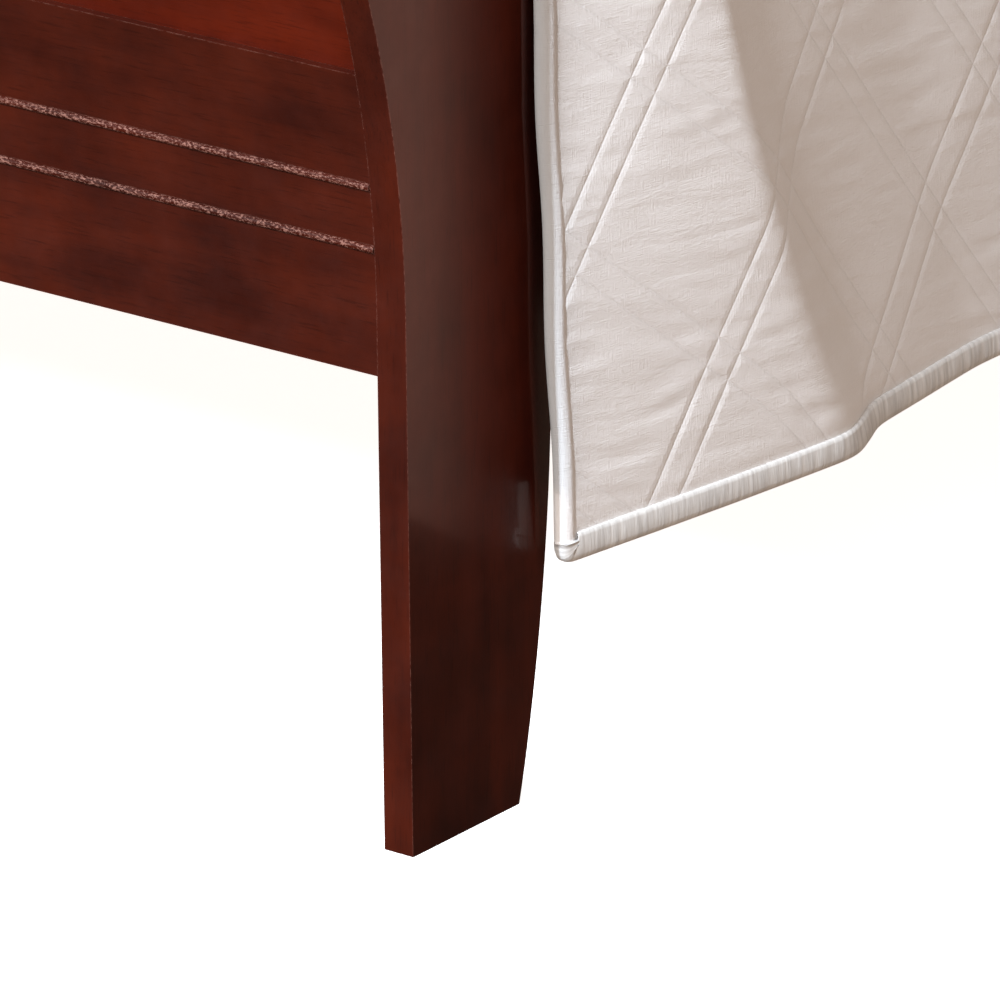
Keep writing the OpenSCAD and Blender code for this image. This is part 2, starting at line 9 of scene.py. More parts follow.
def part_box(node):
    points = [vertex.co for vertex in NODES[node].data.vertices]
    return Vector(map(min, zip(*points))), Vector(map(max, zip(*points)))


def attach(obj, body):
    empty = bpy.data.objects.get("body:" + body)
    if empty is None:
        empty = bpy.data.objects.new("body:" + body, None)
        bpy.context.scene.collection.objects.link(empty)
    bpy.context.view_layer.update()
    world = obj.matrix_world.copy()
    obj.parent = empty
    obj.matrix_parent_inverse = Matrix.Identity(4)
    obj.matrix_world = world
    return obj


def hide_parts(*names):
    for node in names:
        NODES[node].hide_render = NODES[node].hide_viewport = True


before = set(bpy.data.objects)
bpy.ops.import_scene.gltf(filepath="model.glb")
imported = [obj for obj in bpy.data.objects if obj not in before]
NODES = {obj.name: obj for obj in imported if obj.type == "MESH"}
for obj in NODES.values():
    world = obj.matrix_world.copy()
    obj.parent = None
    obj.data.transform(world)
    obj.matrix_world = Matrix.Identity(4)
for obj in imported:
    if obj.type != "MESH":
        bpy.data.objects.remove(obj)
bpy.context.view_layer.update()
SEED = 20

# ---- Places taken from the frame, in metres ----

POST_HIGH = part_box("footboard_post_right")[1]
RAIL_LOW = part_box("side_rail_right")[0]
MATTRESS_LOW, MATTRESS_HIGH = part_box("mattress")
BINDING_LOW, BINDING_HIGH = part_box("quilt_binding")
POST_WIDTH = 0.132
FOOT_Y = RAIL_LOW.y - POST_WIDTH
NEAR_FOOT = Vector((POST_HIGH.x, FOOT_Y, 0))

# ---- Camera: a long lens, looking down at the near foot corner ----

CAMERA_FROM_FOOT = Vector((3.36883, -4.29159, 2.26062))
CAMERA_AZIMUTH = math.radians(37.596)
CAMERA_ELEVATION = math.radians(20.559)
CAMERA_ROLL = math.radians(-0.6158)
CAMERA_LENS = 377.44
CAMERA_SENSOR = 36
CAMERA_NEAREST = 0.5
CAMERA_FARTHEST = 200


def camera_axes():
    """Right, up and back directions of the camera."""
    a, e, r = CAMERA_AZIMUTH, CAMERA_ELEVATION, CAMERA_ROLL
    back = Vector((math.sin(a) * math.cos(e), -math.cos(a) * math.cos(e), math.sin(e)))
    level = Vector((math.cos(a), math.sin(a), 0))
    up = back.cross(level)
    right = math.cos(r) * level + math.sin(r) * up
    return right, back.cross(right), back


def make_camera():
    """The scene's camera, placed from the near post's foot."""
    data = bpy.data.cameras.new("camera")
    data.lens = CAMERA_LENS
    data.sensor_width = CAMERA_SENSOR
    data.clip_start = CAMERA_NEAREST
    data.clip_end = CAMERA_FARTHEST
    camera = bpy.data.objects.new("camera", data)
    bpy.context.scene.collection.objects.link(camera)
    place = Matrix(camera_axes()).transposed().to_4x4()
    place.translation = NEAR_FOOT + CAMERA_FROM_FOOT
    camera.matrix_world = place
    bpy.context.scene.camera = camera


make_camera()

# ---- Node helpers ----


def new_material(name):
    material = bpy.data.materials.new(name)
    material.use_nodes = True
    return material, material.node_tree, material.node_tree.nodes["Principled BSDF"]


def lone_shader(name, kind, inputs):
    """A material of one shader alone."""
    material = bpy.data.materials.new(name)
    material.use_nodes = True
    tree = material.node_tree
    tree.nodes.clear()
    shader = add(tree, kind, inputs)
    add(tree, "ShaderNodeOutputMaterial", {"Surface": shader.outputs[0]})
    return material


def set_finish(shader, finish):
    """Sets the shader's even values on its own sockets."""
    for socket, value in finish.items():
        shader.inputs[socket].default_value = value


def add(tree, kind, inputs=None, **settings):
    """A node of that kind, with its settings, values and links."""
    node = tree.nodes.new(kind)
    for key, value in settings.items():
        setattr(node, key, value)
    for key, value in (inputs or {}).items():
        if isinstance(value, bpy.types.NodeSocket):
            tree.links.new(value, node.inputs[key])
        else:
            node.inputs[key].default_value = value
    return node


def calc(tree, operation, *values):
    """A math node's result."""
    return add(tree, "ShaderNodeMath", dict(enumerate(values)), operation=operation).outputs[0]


def object_coordinates(tree, scale=(1, 1, 1), turn=(0, 0, 0)):
    coordinates = add(tree, "ShaderNodeTexCoord").outputs["Object"]
    settings = {"Vector": coordinates, "Scale": scale, "Rotation": turn}
    return add(tree, "ShaderNodeMapping", settings).outputs[0]


def flat_coordinates(tree, scale=(1, 1, 1), turn=0):
    """The cloth's own flat coordinates in metres, turned and then scaled."""
    coordinates = add(tree, "ShaderNodeUVMap", uv_map="flat").outputs[0]
    turning = {"Vector": coordinates, "Rotation": (0, 0, turn)}
    turned = add(tree, "ShaderNodeMapping", turning).outputs[0]
    return add(tree, "ShaderNodeMapping", {"Vector": turned, "Scale": scale}).outputs[0]


def noise(tree, vector, scale, detail=2.0, roughness=0.5, distortion=0.0):
    settings = {"Vector": vector, "Scale": scale, "Detail": detail}
    settings.update({"Roughness": roughness, "Distortion": distortion})
    return add(tree, "ShaderNodeTexNoise", settings).outputs[0]


def spread(tree, value, low, high, to_low=0.0, to_high=1.0, smooth=False):
    """Maps a value from one range to another, and clamps it."""
    settings = {0: value, 1: low, 2: high, 3: to_low, 4: to_high}
    kind = "SMOOTHSTEP" if smooth else "LINEAR"
    return add(tree, "ShaderNodeMapRange", settings, interpolation_type=kind).outputs[0]


def blend(tree, share, first, second, how="MIX"):
    """A mix of two colours."""
    node = add(tree, "ShaderNodeMix", data_type="RGBA", blend_type=how, clamp_factor=True)
    for place, value in ((0, share), (6, first), (7, second)):
        socket = node.inputs[place]
        if isinstance(value, bpy.types.NodeSocket):
            tree.links.new(value, socket)
        else:
            socket.default_value = value
    return node.outputs[2]


def rgb(red, green, blue):
    return (red, green, blue, 1.0)


def bump(tree, height, distance, strength=1.0, normal=None):
    inputs = {"Height": height, "Distance": distance, "Strength": strength}
    if normal is not None:
        inputs["Normal"] = normal
    return add(tree, "ShaderNodeBump", inputs).outputs[0]


# ---- Materials ----

GRAIN_ACROSS = {"x": (1, 12, 12), "y": (12, 1, 12), "z": (12, 12, 1)}
PORES_ACROSS = {"x": (50, 900, 900), "y": (900, 50, 900), "z": (900, 900, 50)}
# Scale of the pale specks on the beads: partly rubbed lacquer, partly painted glints
SPECKS_OF_WEAR_AND_GLINT = (500, 900, 900)
# Pale lacquer for edges and beads: partly real wear, partly a painted highlight
EDGE_WEAR_AND_HIGHLIGHT_REACH = 0.0012
WORN_AND_HIGHLIGHT = (0.26, 0.12, 0.09)
LACQUER_ROUGHNESS = (0.34, 0.44)
LACQUER_RELIEF = 0.00006
LACQUER_FINISH = {"Specular IOR Level": 0.3, "Coat Weight": 0.3, "Coat Roughness": 0.13}
BARE_RELIEF = 0.0003
BARE_FINISH = {"Roughness": 0.62}


def lacquered_wood(name, dark, light, along, rubbed_and_glinting=False):
    """Stained wood under satin lacquer, with its grain along one axis."""
    material, tree, shader = new_material(name)
    figure = noise(tree, object_coordinates(tree, GRAIN_ACROSS[along]), 3.2, 5, 0.6, 0.4)
    mottle = noise(tree, object_coordinates(tree), 11, 4, 0.6)
    tone = calc(tree, "ADD", calc(tree, "MULTIPLY", figure, 0.4), calc(tree, "MULTIPLY", mottle, 0.6))
    colour = blend(tree, spread(tree, tone, 0.38, 0.62), rgb(*dark), rgb(*light))
    pore_noise = noise(tree, object_coordinates(tree, PORES_ACROSS[along]), 1, 2, 0.6)
    pores = spread(tree, pore_noise, 0.56, 0.72)
    colour = blend(tree, calc(tree, "MULTIPLY", pores, 0.4), colour, rgb(*[0.45 * c for c in dark]))
    # Sharp edges turn pale: partly wear, partly a painted edge highlight
    colour = blend(tree, edge_wear_and_highlight(tree), colour, rgb(*WORN_AND_HIGHLIGHT))
    # Pale specks on the beads: partly rubbed lacquer, partly painted glints
    if rubbed_and_glinting:
        wear_and_glint_specks = noise(tree, object_coordinates(tree, SPECKS_OF_WEAR_AND_GLINT), 1, 3, 0.7)
        colour = blend(tree, spread(tree, wear_and_glint_specks, 0.50, 0.60, 0.0, 0.8), colour, rgb(*WORN_AND_HIGHLIGHT))
    tree.links.new(colour, shader.inputs["Base Color"])
    haze = noise(tree, object_coordinates(tree), 40, 4, 0.7)
    tree.links.new(spread(tree, haze, 0.3, 0.7, *LACQUER_ROUGHNESS), shader.inputs["Roughness"])
    waves = calc(tree, "MULTIPLY", noise(tree, object_coordinates(tree), 90, 2, 0.5), 0.6)
    relief = calc(tree, "SUBTRACT", waves, calc(tree, "MULTIPLY", pores, 0.25))
    tree.links.new(bump(tree, relief, LACQUER_RELIEF), shader.inputs["Normal"])
    set_finish(shader, LACQUER_FINISH)
    return material


def edge_wear_and_highlight(tree):
    """Share of rubbed lacquer and painted edge highlight: along sharp edges, broken up by noise."""
    rounded = add(tree, "ShaderNodeBevel", {"Radius": EDGE_WEAR_AND_HIGHLIGHT_REACH}, samples=4).outputs[0]
    true = add(tree, "ShaderNodeNewGeometry").outputs["True Normal"]
    turned = add(tree, "ShaderNodeVectorMath", {0: rounded, 1: true}, operation="DOT_PRODUCT")
    rubbed_and_glinting = noise(tree, object_coordinates(tree), 300, 4, 0.7)
    edge = spread(tree, turned.outputs["Value"], 0.97, 0.86)
    return calc(tree, "MULTIPLY", edge, spread(tree, rubbed_and_glinting, 0.40, 0.65, 0.0, 0.45))


def bare_wood(name, dark, light, along):
    """Planed softwood with growth lines and a darker, cloudy tone."""
    material, tree, shader = new_material(name)
    lines = noise(tree, object_coordinates(tree, GRAIN_ACROSS[along]), 9, 6, 0.65, 0.6)
    broad = noise(tree, object_coordinates(tree, GRAIN_ACROSS[along]), 1.1, 2, 0.5, 0.5)
    tone = calc(tree, "ADD", calc(tree, "MULTIPLY", lines, 0.6), calc(tree, "MULTIPLY", broad, 0.4))
    colour = blend(tree, spread(tree, tone, 0.36, 0.64), rgb(*light), rgb(*dark))
    fibre = noise(tree, object_coordinates(tree, PORES_ACROSS[along]), 1, 2, 0.6)
    colour = blend(tree, spread(tree, fibre, 0.5, 0.8, 0, 0.35), colour, rgb(*[0.7 * c for c in dark]))
    tree.links.new(colour, shader.inputs["Base Color"])
    tree.links.new(bump(tree, calc(tree, "ADD", fibre, lines), BARE_RELIEF), shader.inputs["Normal"])
    set_finish(shader, BARE_FINISH)
    return material


STEEL_DARK = (0.40, 0.41, 0.42)
STEEL_LIGHT = (0.62, 0.61, 0.57)
STEEL_SCRATCHES = (900, 900, 60)
STEEL_ROUGHNESS = (0.26, 0.48)
STEEL_RELIEF = 0.00005
STEEL_FINISH = {"Metallic": 1.0}


def plated_steel(name):
    """Zinc plate with faint cloudy tone."""
    material, tree, shader = new_material(name)
    cloud = noise(tree, object_coordinates(tree), 140, 4, 0.6)
    colour = blend(tree, spread(tree, cloud, 0.35, 0.65), rgb(*STEEL_DARK), rgb(*STEEL_LIGHT))
    tree.links.new(colour, shader.inputs["Base Color"])
    scratches = noise(tree, object_coordinates(tree, STEEL_SCRATCHES), 1, 3, 0.6)
    tree.links.new(spread(tree, scratches, 0.3, 0.7, *STEEL_ROUGHNESS), shader.inputs["Roughness"])
    tree.links.new(bump(tree, scratches, STEEL_RELIEF), shader.inputs["Normal"])
    set_finish(shader, STEEL_FINISH)
    return material


NYLON_DARK = (0.018, 0.018, 0.019)
NYLON_LIGHT = (0.035, 0.034, 0.034)
NYLON_RELIEF = 0.0001
NYLON_FINISH = {"Roughness": 0.5}


def moulded_plastic(name):
    """Black nylon with a fine moulded grain."""
    material, tree, shader = new_material(name)
    grain = noise(tree, object_coordinates(tree), 1500, 2, 0.5)
    colour = blend(tree, spread(tree, grain, 0.3, 0.7), rgb(*NYLON_DARK), rgb(*NYLON_LIGHT))
    tree.links.new(colour, shader.inputs["Base Color"])
    tree.links.new(bump(tree, grain, NYLON_RELIEF), shader.inputs["Normal"])
    set_finish(shader, NYLON_FINISH)
    return material


# The quilting runs in two families of double rows. Each family is
# (share of y, share of height, first row, gap between a pair, pitch), in the cloth's flat metres.
ROWS_DOWN_TO_FOOT = (0.8388, -0.5447, 0.0697, 0.0218, 0.1503)
ROWS_DOWN_TO_HEAD = (0.6199, 0.7847, 0.1067, 0.0173, 0.11064)
TURN_FROM = 0.270
TURN_BY = 0.330
FOOT_TURN = -0.214
HEAD_TURN = 0.519
STITCH_LENGTH = 0.0034
THREAD_REACH = 0.0008
VALLEY_REACH = 0.0013
HEAD_ROWS_SHARE = 0.8
THREADS_DOWN = (1500, 95, 1)
THREADS_OVER = (95, 1500, 1)
CREASE_SCALE = (13, 62, 1)
CREASE_TURN = math.radians(9)
WEAVE_RELIEF = 0.00030
CREASE_RELIEF = 0.0012
PLAIN_CREASE_RELIEF = 0.0010
SEAM_RELIEF = 0.00014
# Strength of the painted shade in the rows' stitched valleys
VALLEY_PAINTED_SHADE = 0.09
THREAD_SHINE = 0.20
COTTON_FINISH = {
    "Roughness": 0.88,
    "Specular IOR Level": 0.15,
    "Sheen Weight": 0.2,
    "Sheen Roughness": 0.45,
}


def turned_y(tree, y, turn):
    """y stretched towards the head beyond the first fold, which turns a family of rows there."""
    share = spread(tree, y, TURN_FROM, TURN_BY)
    cube = calc(tree, "POWER", share, 3.0)
    ramp = calc(tree, "MULTIPLY", cube, calc(tree, "SUBTRACT", 1.0, calc(tree, "MULTIPLY", share, 0.5)))
    ramp = calc(tree, "MULTIPLY", ramp, TURN_BY - TURN_FROM)
    past = calc(tree, "MAXIMUM", calc(tree, "SUBTRACT", y, TURN_BY), 0.0)
    return calc(tree, "ADD", y, calc(tree, "MULTIPLY", calc(tree, "ADD", ramp, past), turn))


def weave_height(tree):
    """Uneven linen threads, both ways."""
    down = noise(tree, flat_coordinates(tree, THREADS_DOWN), 1, 2, 0.6)
    over = noise(tree, flat_coordinates(tree, THREADS_OVER), 1, 2, 0.6)
    return calc(tree, "ADD", down, over)


def row_distance(tree, family, y, height):
    """Distance from the nearest quilting row of one family, in metres."""
    share_y, share_height, first, gap, pitch = family
    part_y = calc(tree, "MULTIPLY", y, share_y)
    offset = calc(tree, "ADD", part_y, calc(tree, "MULTIPLY", height, share_height))
    along = calc(tree, "FLOORED_MODULO", calc(tree, "SUBTRACT", offset, first), pitch)
    second = calc(tree, "ABSOLUTE", calc(tree, "SUBTRACT", along, gap))
    return calc(tree, "MINIMUM", calc(tree, "MINIMUM", along, calc(tree, "SUBTRACT", pitch, along)), second)


def stitch_dashes(tree, family, y, height):
    """1 on a stitch and 0 between stitches, along the rows of one family."""
    share_y, share_height = family[:2]
    part_height = calc(tree, "MULTIPLY", height, share_y)
    run = calc(tree, "SUBTRACT", part_height, calc(tree, "MULTIPLY", y, share_height))
    wave = calc(tree, "SINE", calc(tree, "MULTIPLY", run, 2 * math.pi / STITCH_LENGTH))
    return spread(tree, wave, -0.5, 0.3, smooth=True)


def quilt_rows(tree, y, height):
    """Distance from the nearest row, its thread and its valley, over both families of rows."""
    rows, threads, valleys = [], [], []
    families = ((ROWS_DOWN_TO_FOOT, FOOT_TURN, 1.0), (ROWS_DOWN_TO_HEAD, HEAD_TURN, HEAD_ROWS_SHARE))
    for family, turn, depth in families:
        along_bed = turned_y(tree, y, turn)
        distance = row_distance(tree, family, along_bed, height)
        rows.append(distance)
        close = spread(tree, distance, 0.0, THREAD_REACH, depth, 0.0)
        threads.append(calc(tree, "MULTIPLY", close, stitch_dashes(tree, family, along_bed, height)))
        valleys.append(spread(tree, distance, 0.0001, VALLEY_REACH, depth, 0.0, smooth=True))
    nearest = calc(tree, "MINIMUM", *rows)
    return nearest, calc(tree, "MAXIMUM", *threads), calc(tree, "MAXIMUM", *valleys)


def linen_cotton(name, base, shade, quilted=True):
    """Ivory linen-weave cotton, quilted in double rows with fine puckers between them and painted shade in
    the rows' valleys, or plain.
    """
    material, tree, shader = new_material(name)
    weave = weave_height(tree)
    cloudy = noise(tree, flat_coordinates(tree), 14, 4, 0.6)
    tone = calc(tree, "ADD", calc(tree, "MULTIPLY", weave, 0.5), calc(tree, "MULTIPLY", cloudy, 0.5))
    colour = blend(tree, spread(tree, tone, 0.5, 1.0), rgb(*shade), rgb(*base))
    normal = bump(tree, weave, WEAVE_RELIEF)
    creases = noise(tree, flat_coordinates(tree, CREASE_SCALE, CREASE_TURN), 1, 2, 0.5, 0.3)
    if quilted:
        flat = add(tree, "ShaderNodeSeparateXYZ", {0: flat_coordinates(tree)})
        nearest, thread, valley = quilt_rows(tree, flat.outputs[0], flat.outputs[1])
        creases = calc(tree, "MULTIPLY", creases, spread(tree, nearest, 0.0, 0.004, 0.3, 1.0))
        normal = bump(tree, creases, CREASE_RELIEF, 1.0, normal)
        # Painted shade darkens the cloth in the stitched valleys
        painted_valley_shade = rgb(*[0.5 * c for c in shade])
        on_thread = rgb(*[min(1, 1.1 * c) for c in base])
        colour = blend(tree, calc(tree, "MULTIPLY", valley, VALLEY_PAINTED_SHADE), colour, painted_valley_shade)
        colour = blend(tree, calc(tree, "MULTIPLY", thread, THREAD_SHINE), colour, on_thread)
        seam = calc(tree, "SUBTRACT", calc(tree, "MULTIPLY", thread, 0.3), valley)
        normal = bump(tree, seam, SEAM_RELIEF, 1.0, normal)
    else:
        normal = bump(tree, creases, PLAIN_CREASE_RELIEF, 1.0, normal)
    tree.links.new(colour, shader.inputs["Base Color"])
    tree.links.new(normal, shader.inputs["Normal"])
    set_finish(shader, COTTON_FINISH)
    return material


GATHERS_SCALE = (260, 24, 1)
SATIN_THREADS = (2600, 120, 1)
SATIN_ROUGHNESS = (0.5, 0.3)
GATHER_RELIEF = 0.0005
SATIN_THREAD_RELIEF = 0.00006
SATIN_FINISH = {"Specular IOR Level": 0.75, "Sheen Weight": 0.2}


def satin(name, dark, light):
    """Silver-grey satin ribbon, gathered across its length, with painted highlights and painted shade along
    its gathers.
    """
    material, tree, shader = new_material(name)
    gathers = noise(tree, flat_coordinates(tree, GATHERS_SCALE), 1, 3, 0.6, 0.3)
    threads = noise(tree, flat_coordinates(tree, SATIN_THREADS), 1, 2, 0.5)
    # Colour follows the gathers: painted highlight on them and painted shade between them
    colour = blend(tree, spread(tree, gathers, 0.35, 0.68), rgb(*dark), rgb(*light))
    tree.links.new(colour, shader.inputs["Base Color"])
    tree.links.new(spread(tree, gathers, 0.3, 0.7, *SATIN_ROUGHNESS), shader.inputs["Roughness"])
    relief = bump(tree, threads, SATIN_THREAD_RELIEF)
    tree.links.new(bump(tree, gathers, GATHER_RELIEF, 1.0, relief), shader.inputs["Normal"])
    set_finish(shader, SATIN_FINISH)
    return material


TICKING_GROUND = (0.78, 0.76, 0.72)
TICKING_MARK = (0.66, 0.66, 0.67)
TICKING_KNIT = (0.55, 0.53, 0.50)
DIAMOND_SCALE = (38, 38, 38)
KNIT_SCALE = (900, 900, 900)
DIAMOND_RELIEF = 0.0016
KNIT_RELIEF = 0.0004
TICKING_FINISH = {"Roughness": 0.85, "Sheen Weight": 0.2}


def ticking(name):
    """Mattress cover: a knitted ground with a small woven diamond."""
    material, tree, shader = new_material(name)
    cells = {"Vector": object_coordinates(tree, DIAMOND_SCALE), "Scale": 1}
    spot = add(tree, "ShaderNodeTexVoronoi", cells)
    knit = noise(tree, object_coordinates(tree, KNIT_SCALE), 1, 2, 0.6)
    mark = spread(tree, spot.outputs["Distance"], 0.12, 0.3, 1, 0, smooth=True)
    colour = blend(tree, mark, rgb(*TICKING_GROUND), rgb(*TICKING_MARK))
    colour = blend(tree, spread(tree, knit, 0.4, 0.7, 0, 0.25), colour, rgb(*TICKING_KNIT))
    tree.links.new(colour, shader.inputs["Base Color"])
    soft = bump(tree, spot.outputs["Distance"], DIAMOND_RELIEF)
    tree.links.new(bump(tree, knit, KNIT_RELIEF, 1.0, soft), shader.inputs["Normal"])
    set_finish(shader, TICKING_FINISH)
    return material


CHERRY_DARK = (0.025, 0.0029, 0.0012)
CHERRY_LIGHT = (0.057, 0.0066, 0.0020)
PANEL_DARK = (0.042, 0.0030, 0.0006)
PANEL_LIGHT = (0.086, 0.0070, 0.0012)
PINE_DARK = (0.46, 0.27, 0.13)
PINE_LIGHT = (0.68, 0.47, 0.27)
COTTON_LIGHT = (0.82, 0.785, 0.765)
COTTON_SHADE = (0.77, 0.73, 0.705)
# Satin colours for the painted shade and painted highlight of its gathers
SATIN_GATHER_SHADE = (0.55, 0.525, 0.50)
SATIN_GATHER_HIGHLIGHT = (0.80, 0.775, 0.745)

CHERRY = {axis: lacquered_wood("cherry_" + axis, CHERRY_DARK, CHERRY_LIGHT, axis) for axis in "xyz"}
# Bead lacquer, with painted glints as well as wear
BEAD_CHERRY = lacquered_wood("cherry_bead", CHERRY_DARK, CHERRY_LIGHT, "x", rubbed_and_glinting=True)
PANEL = lacquered_wood("panel_veneer", PANEL_DARK, PANEL_LIGHT, "x")
PINE = {axis: bare_wood("pine_" + axis, PINE_DARK, PINE_LIGHT, axis) for axis in "xyz"}
STEEL = plated_steel("zinc_steel")
NYLON = moulded_plastic("nylon_pad")
COTTON = linen_cotton("quilt_cotton", COTTON_LIGHT, COTTON_SHADE)
PLAIN_COTTON = linen_cotton("plain_cotton", COTTON_LIGHT, COTTON_SHADE, quilted=False)
SATIN = satin("satin_binding", SATIN_GATHER_SHADE, SATIN_GATHER_HIGHLIGHT)
TICKING = ticking("ticking")

# ---- Carried-over CAD nodes: materials, and eased edges on the wood ----

EDGE_EASE = 0.0009
EASE_ANGLE = math.radians(40)
EASE_STEPS = 2
WELD_REACH = 1e-5
SLATS = {f"slat_{i:02d}" for i in range(1, 14)}


def wood_for(name):
    """The wood of a CAD node, with its grain along the piece, or None."""
    if name.endswith("_panel"):
        return PANEL
    if "_post_" in name:
        return CHERRY["z"]
    if name.startswith("side_rail"):
        return CHERRY["y"]
    if name.endswith("_beads"):
        return BEAD_CHERRY
    if name.endswith(("_bottom_rail", "_top_roll")):
        return CHERRY["x"]
    if name.startswith("centre_leg"):
        return PINE["z"]
    if name.startswith("slat_ledge") or name == "centre_rail":
        return PINE["y"]
    if name.endswith("_dowels") or name in SLATS:
        return PINE["x"]
    return None


def ease_edges(node):
    """Rounds the sharp edges of a wooden piece slightly, as sanding does."""
    weld = node.modifiers.new("weld", "WELD")
    weld.merge_threshold = WELD_REACH
    bevel = node.modifiers.new("ease", "BEVEL")
    bevel.width = EDGE_EASE
    bevel.segments = EASE_STEPS
    bevel.limit_method = "ANGLE"
    bevel.angle_limit = EASE_ANGLE
    bevel.harden_normals = True


def dress_nodes():
    for name, node in NODES.items():
        wood = wood_for(name)
        material = wood or (NYLON if name.startswith("leveller_pad") else STEEL)
        node.data.materials.clear()
        node.data.materials.append(material)
        if wood and not name.endswith(("_dowels", "_beads")):
            ease_edges(node)


dress_nodes()

# ---- Small numeric helpers ----


def smooth_noise(x, y, seed):
    """A smooth random field from -1 to 1, whose features are about one unit wide."""
    table = np.random.default_rng(SEED + seed).uniform(-1, 1, (256, 256))
    ix, iy = np.floor(x).astype(int), np.floor(y).astype(int)
    fx, fy = x - ix, y - iy
    fx, fy = fx * fx * (3 - 2 * fx), fy * fy * (3 - 2 * fy)
    corner = [table[(ix + i) % 256, (iy + j) % 256] for i in (0, 1) for j in (0, 1)]
    near = corner[0] * (1 - fy) + corner[1] * fy
    far = corner[2] * (1 - fy) + corner[3] * fy
    return near * (1 - fx) + far * fx


def ease(value, low, high):
    """Smooth step from 0 at low to 1 at high."""
    t = np.clip((value - low) / (high - low), 0, 1)
    return t * t * (3 - 2 * t)


def smoothed(values, width):
    """Running weighted average along the first axis, width in samples."""
    reach = int(3 * width)
    weights = np.exp(-0.5 * (np.arange(-reach, reach + 1) / width) ** 2)
    weights /= weights.sum()
    flat = values.reshape(len(values), -1)
    padded = np.concatenate([
        2 * flat[0] - flat[reach:0:-1], flat, 2 * flat[-1] - flat[-2:-reach - 2:-1]])
    rows = [np.convolve(padded[:, i], weights, "valid") for i in range(flat.shape[1])]
    return np.stack(rows, axis=1).reshape(values.shape)


def run_length(points):
    steps = np.linalg.norm(np.diff(points, axis=0), axis=1)
    return np.concatenate([[0], np.cumsum(steps)])


def resampled(points, step):
    """The same line with points at an even spacing."""
    run = run_length(points)
    at = np.linspace(0, run[-1], max(2, int(round(run[-1] / step)) + 1))
    return np.stack([np.interp(at, run, points[:, i]) for i in range(points.shape[1])], axis=1)


def grid_normals(points):
    """Unit normals of a grid of points, to the side where rows x columns points."""
    over_rows = np.gradient(points, axis=0)
    over_columns = np.gradient(points, axis=1)
    normal = np.cross(over_rows, over_columns)
    return normal / np.linalg.norm(normal, axis=2, keepdims=True)


def grid_faces(numbers):
    """Quads of a grid of vertex numbers."""
    a, b = numbers[:-1, :-1].ravel(), numbers[1:, :-1].ravel()
    c, d = numbers[1:, 1:].ravel(), numbers[:-1, 1:].ravel()
    return np.stack([a, b, c, d], axis=1)


def make_mesh(name, points, faces, flat=None, material=None, ends=()):
    """A smooth-shaded object from points, quads and end faces, with its flat coordinates as a UV map."""
    mesh = bpy.data.meshes.new(name)
    mesh.from_pydata(points.tolist(), [], faces.tolist() + [end.tolist() for end in ends])
    mesh.polygons.foreach_set("use_smooth", [True] * len(mesh.polygons))
    if flat is not None:
        corners = np.zeros(len(mesh.loops), np.int32)
        mesh.loops.foreach_get("vertex_index", corners)
        layer = mesh.uv_layers.new(name="flat")
        layer.data.foreach_set("uv", flat[corners].astype(np.float32).ravel())
    if material is not None:
        mesh.materials.append(material)
    piece = bpy.data.objects.new(name, mesh)
    bpy.context.scene.collection.objects.link(piece)
    return piece


# ---- Quilt: one cloth over the mattress, with its foot corners cut out round the posts ----

QUILT_THICKNESS = 0.0115
QUILT_TOP_Z = MATTRESS_HIGH.z + QUILT_THICKNESS
HEM_Z = BINDING_LOW.z
HEM_X = BINDING_HIGH.x
HEAD_EDGE_Y = BINDING_HIGH.y
EDGE_RADIUS = 0.030
EDGE_X = MATTRESS_HIGH.x - EDGE_RADIUS
EDGE_Z = MATTRESS_HIGH.z - EDGE_RADIUS
OUTSIDE_RADIUS = EDGE_RADIUS + QUILT_THICKNESS
FALL_X = 0.8045
FALL_Z = MATTRESS_HIGH.z - 0.095
BINDING_INSET = 0.009
FINE_CELL = 0.0025
TOP_CELL = 0.012
SIDE_CELL = 0.009
CORNER_CUT_Y = FOOT_Y + 0.136
FRONT_EDGE_Y = FOOT_Y + 0.1085
FRONT_EDGE_FLARE = 0.0105
FOOT_EDGE_Y = MATTRESS_LOW.y + EDGE_RADIUS
TUCK_Z = 0.420
EDGE_SINK = 0.0018
EDGE_SINK_START = 0.004
EDGE_SINK_END = 0.018
FRONT_START = 0.014
POST_CLEAR_X = POST_HIGH.x + 0.0095
CLEAR_SOFTNESS = 0.004
SECTION_STEP = 0.001
SECTION_SOFTNESS = 9
ARC_END = math.radians(24)
ARC_STEPS = 14
TUCK_ARC_STEPS = 12
TUCK_STEP = 0.006


def edge_arc(centre, turn):
    """The quilt's bend over a mattress edge, as points (across, z)."""
    across = centre + OUTSIDE_RADIUS * np.cos(turn)
    return np.stack([across, EDGE_Z + OUTSIDE_RADIUS * np.sin(turn)], axis=1)


def quilt_section():
    """The quilt's outside line from the middle of the bed to its hem, as even points (x, z)."""
    turn = np.linspace(math.pi / 2, ARC_END, ARC_STEPS)
    arc = edge_arc(EDGE_X, turn)
    corners = np.concatenate([[[0, QUILT_TOP_Z]], arc, [[FALL_X, FALL_Z], [HEM_X, HEM_Z]]])
    return smoothed(resampled(corners, SECTION_STEP), SECTION_SOFTNESS)


SECTION = quilt_section()
SECTION_RUN = run_length(SECTION)
HALF_WIDTH = SECTION_RUN[-1]
FALL_RUN = float(np.interp(-FALL_Z, -SECTION[:, 1], SECTION_RUN))

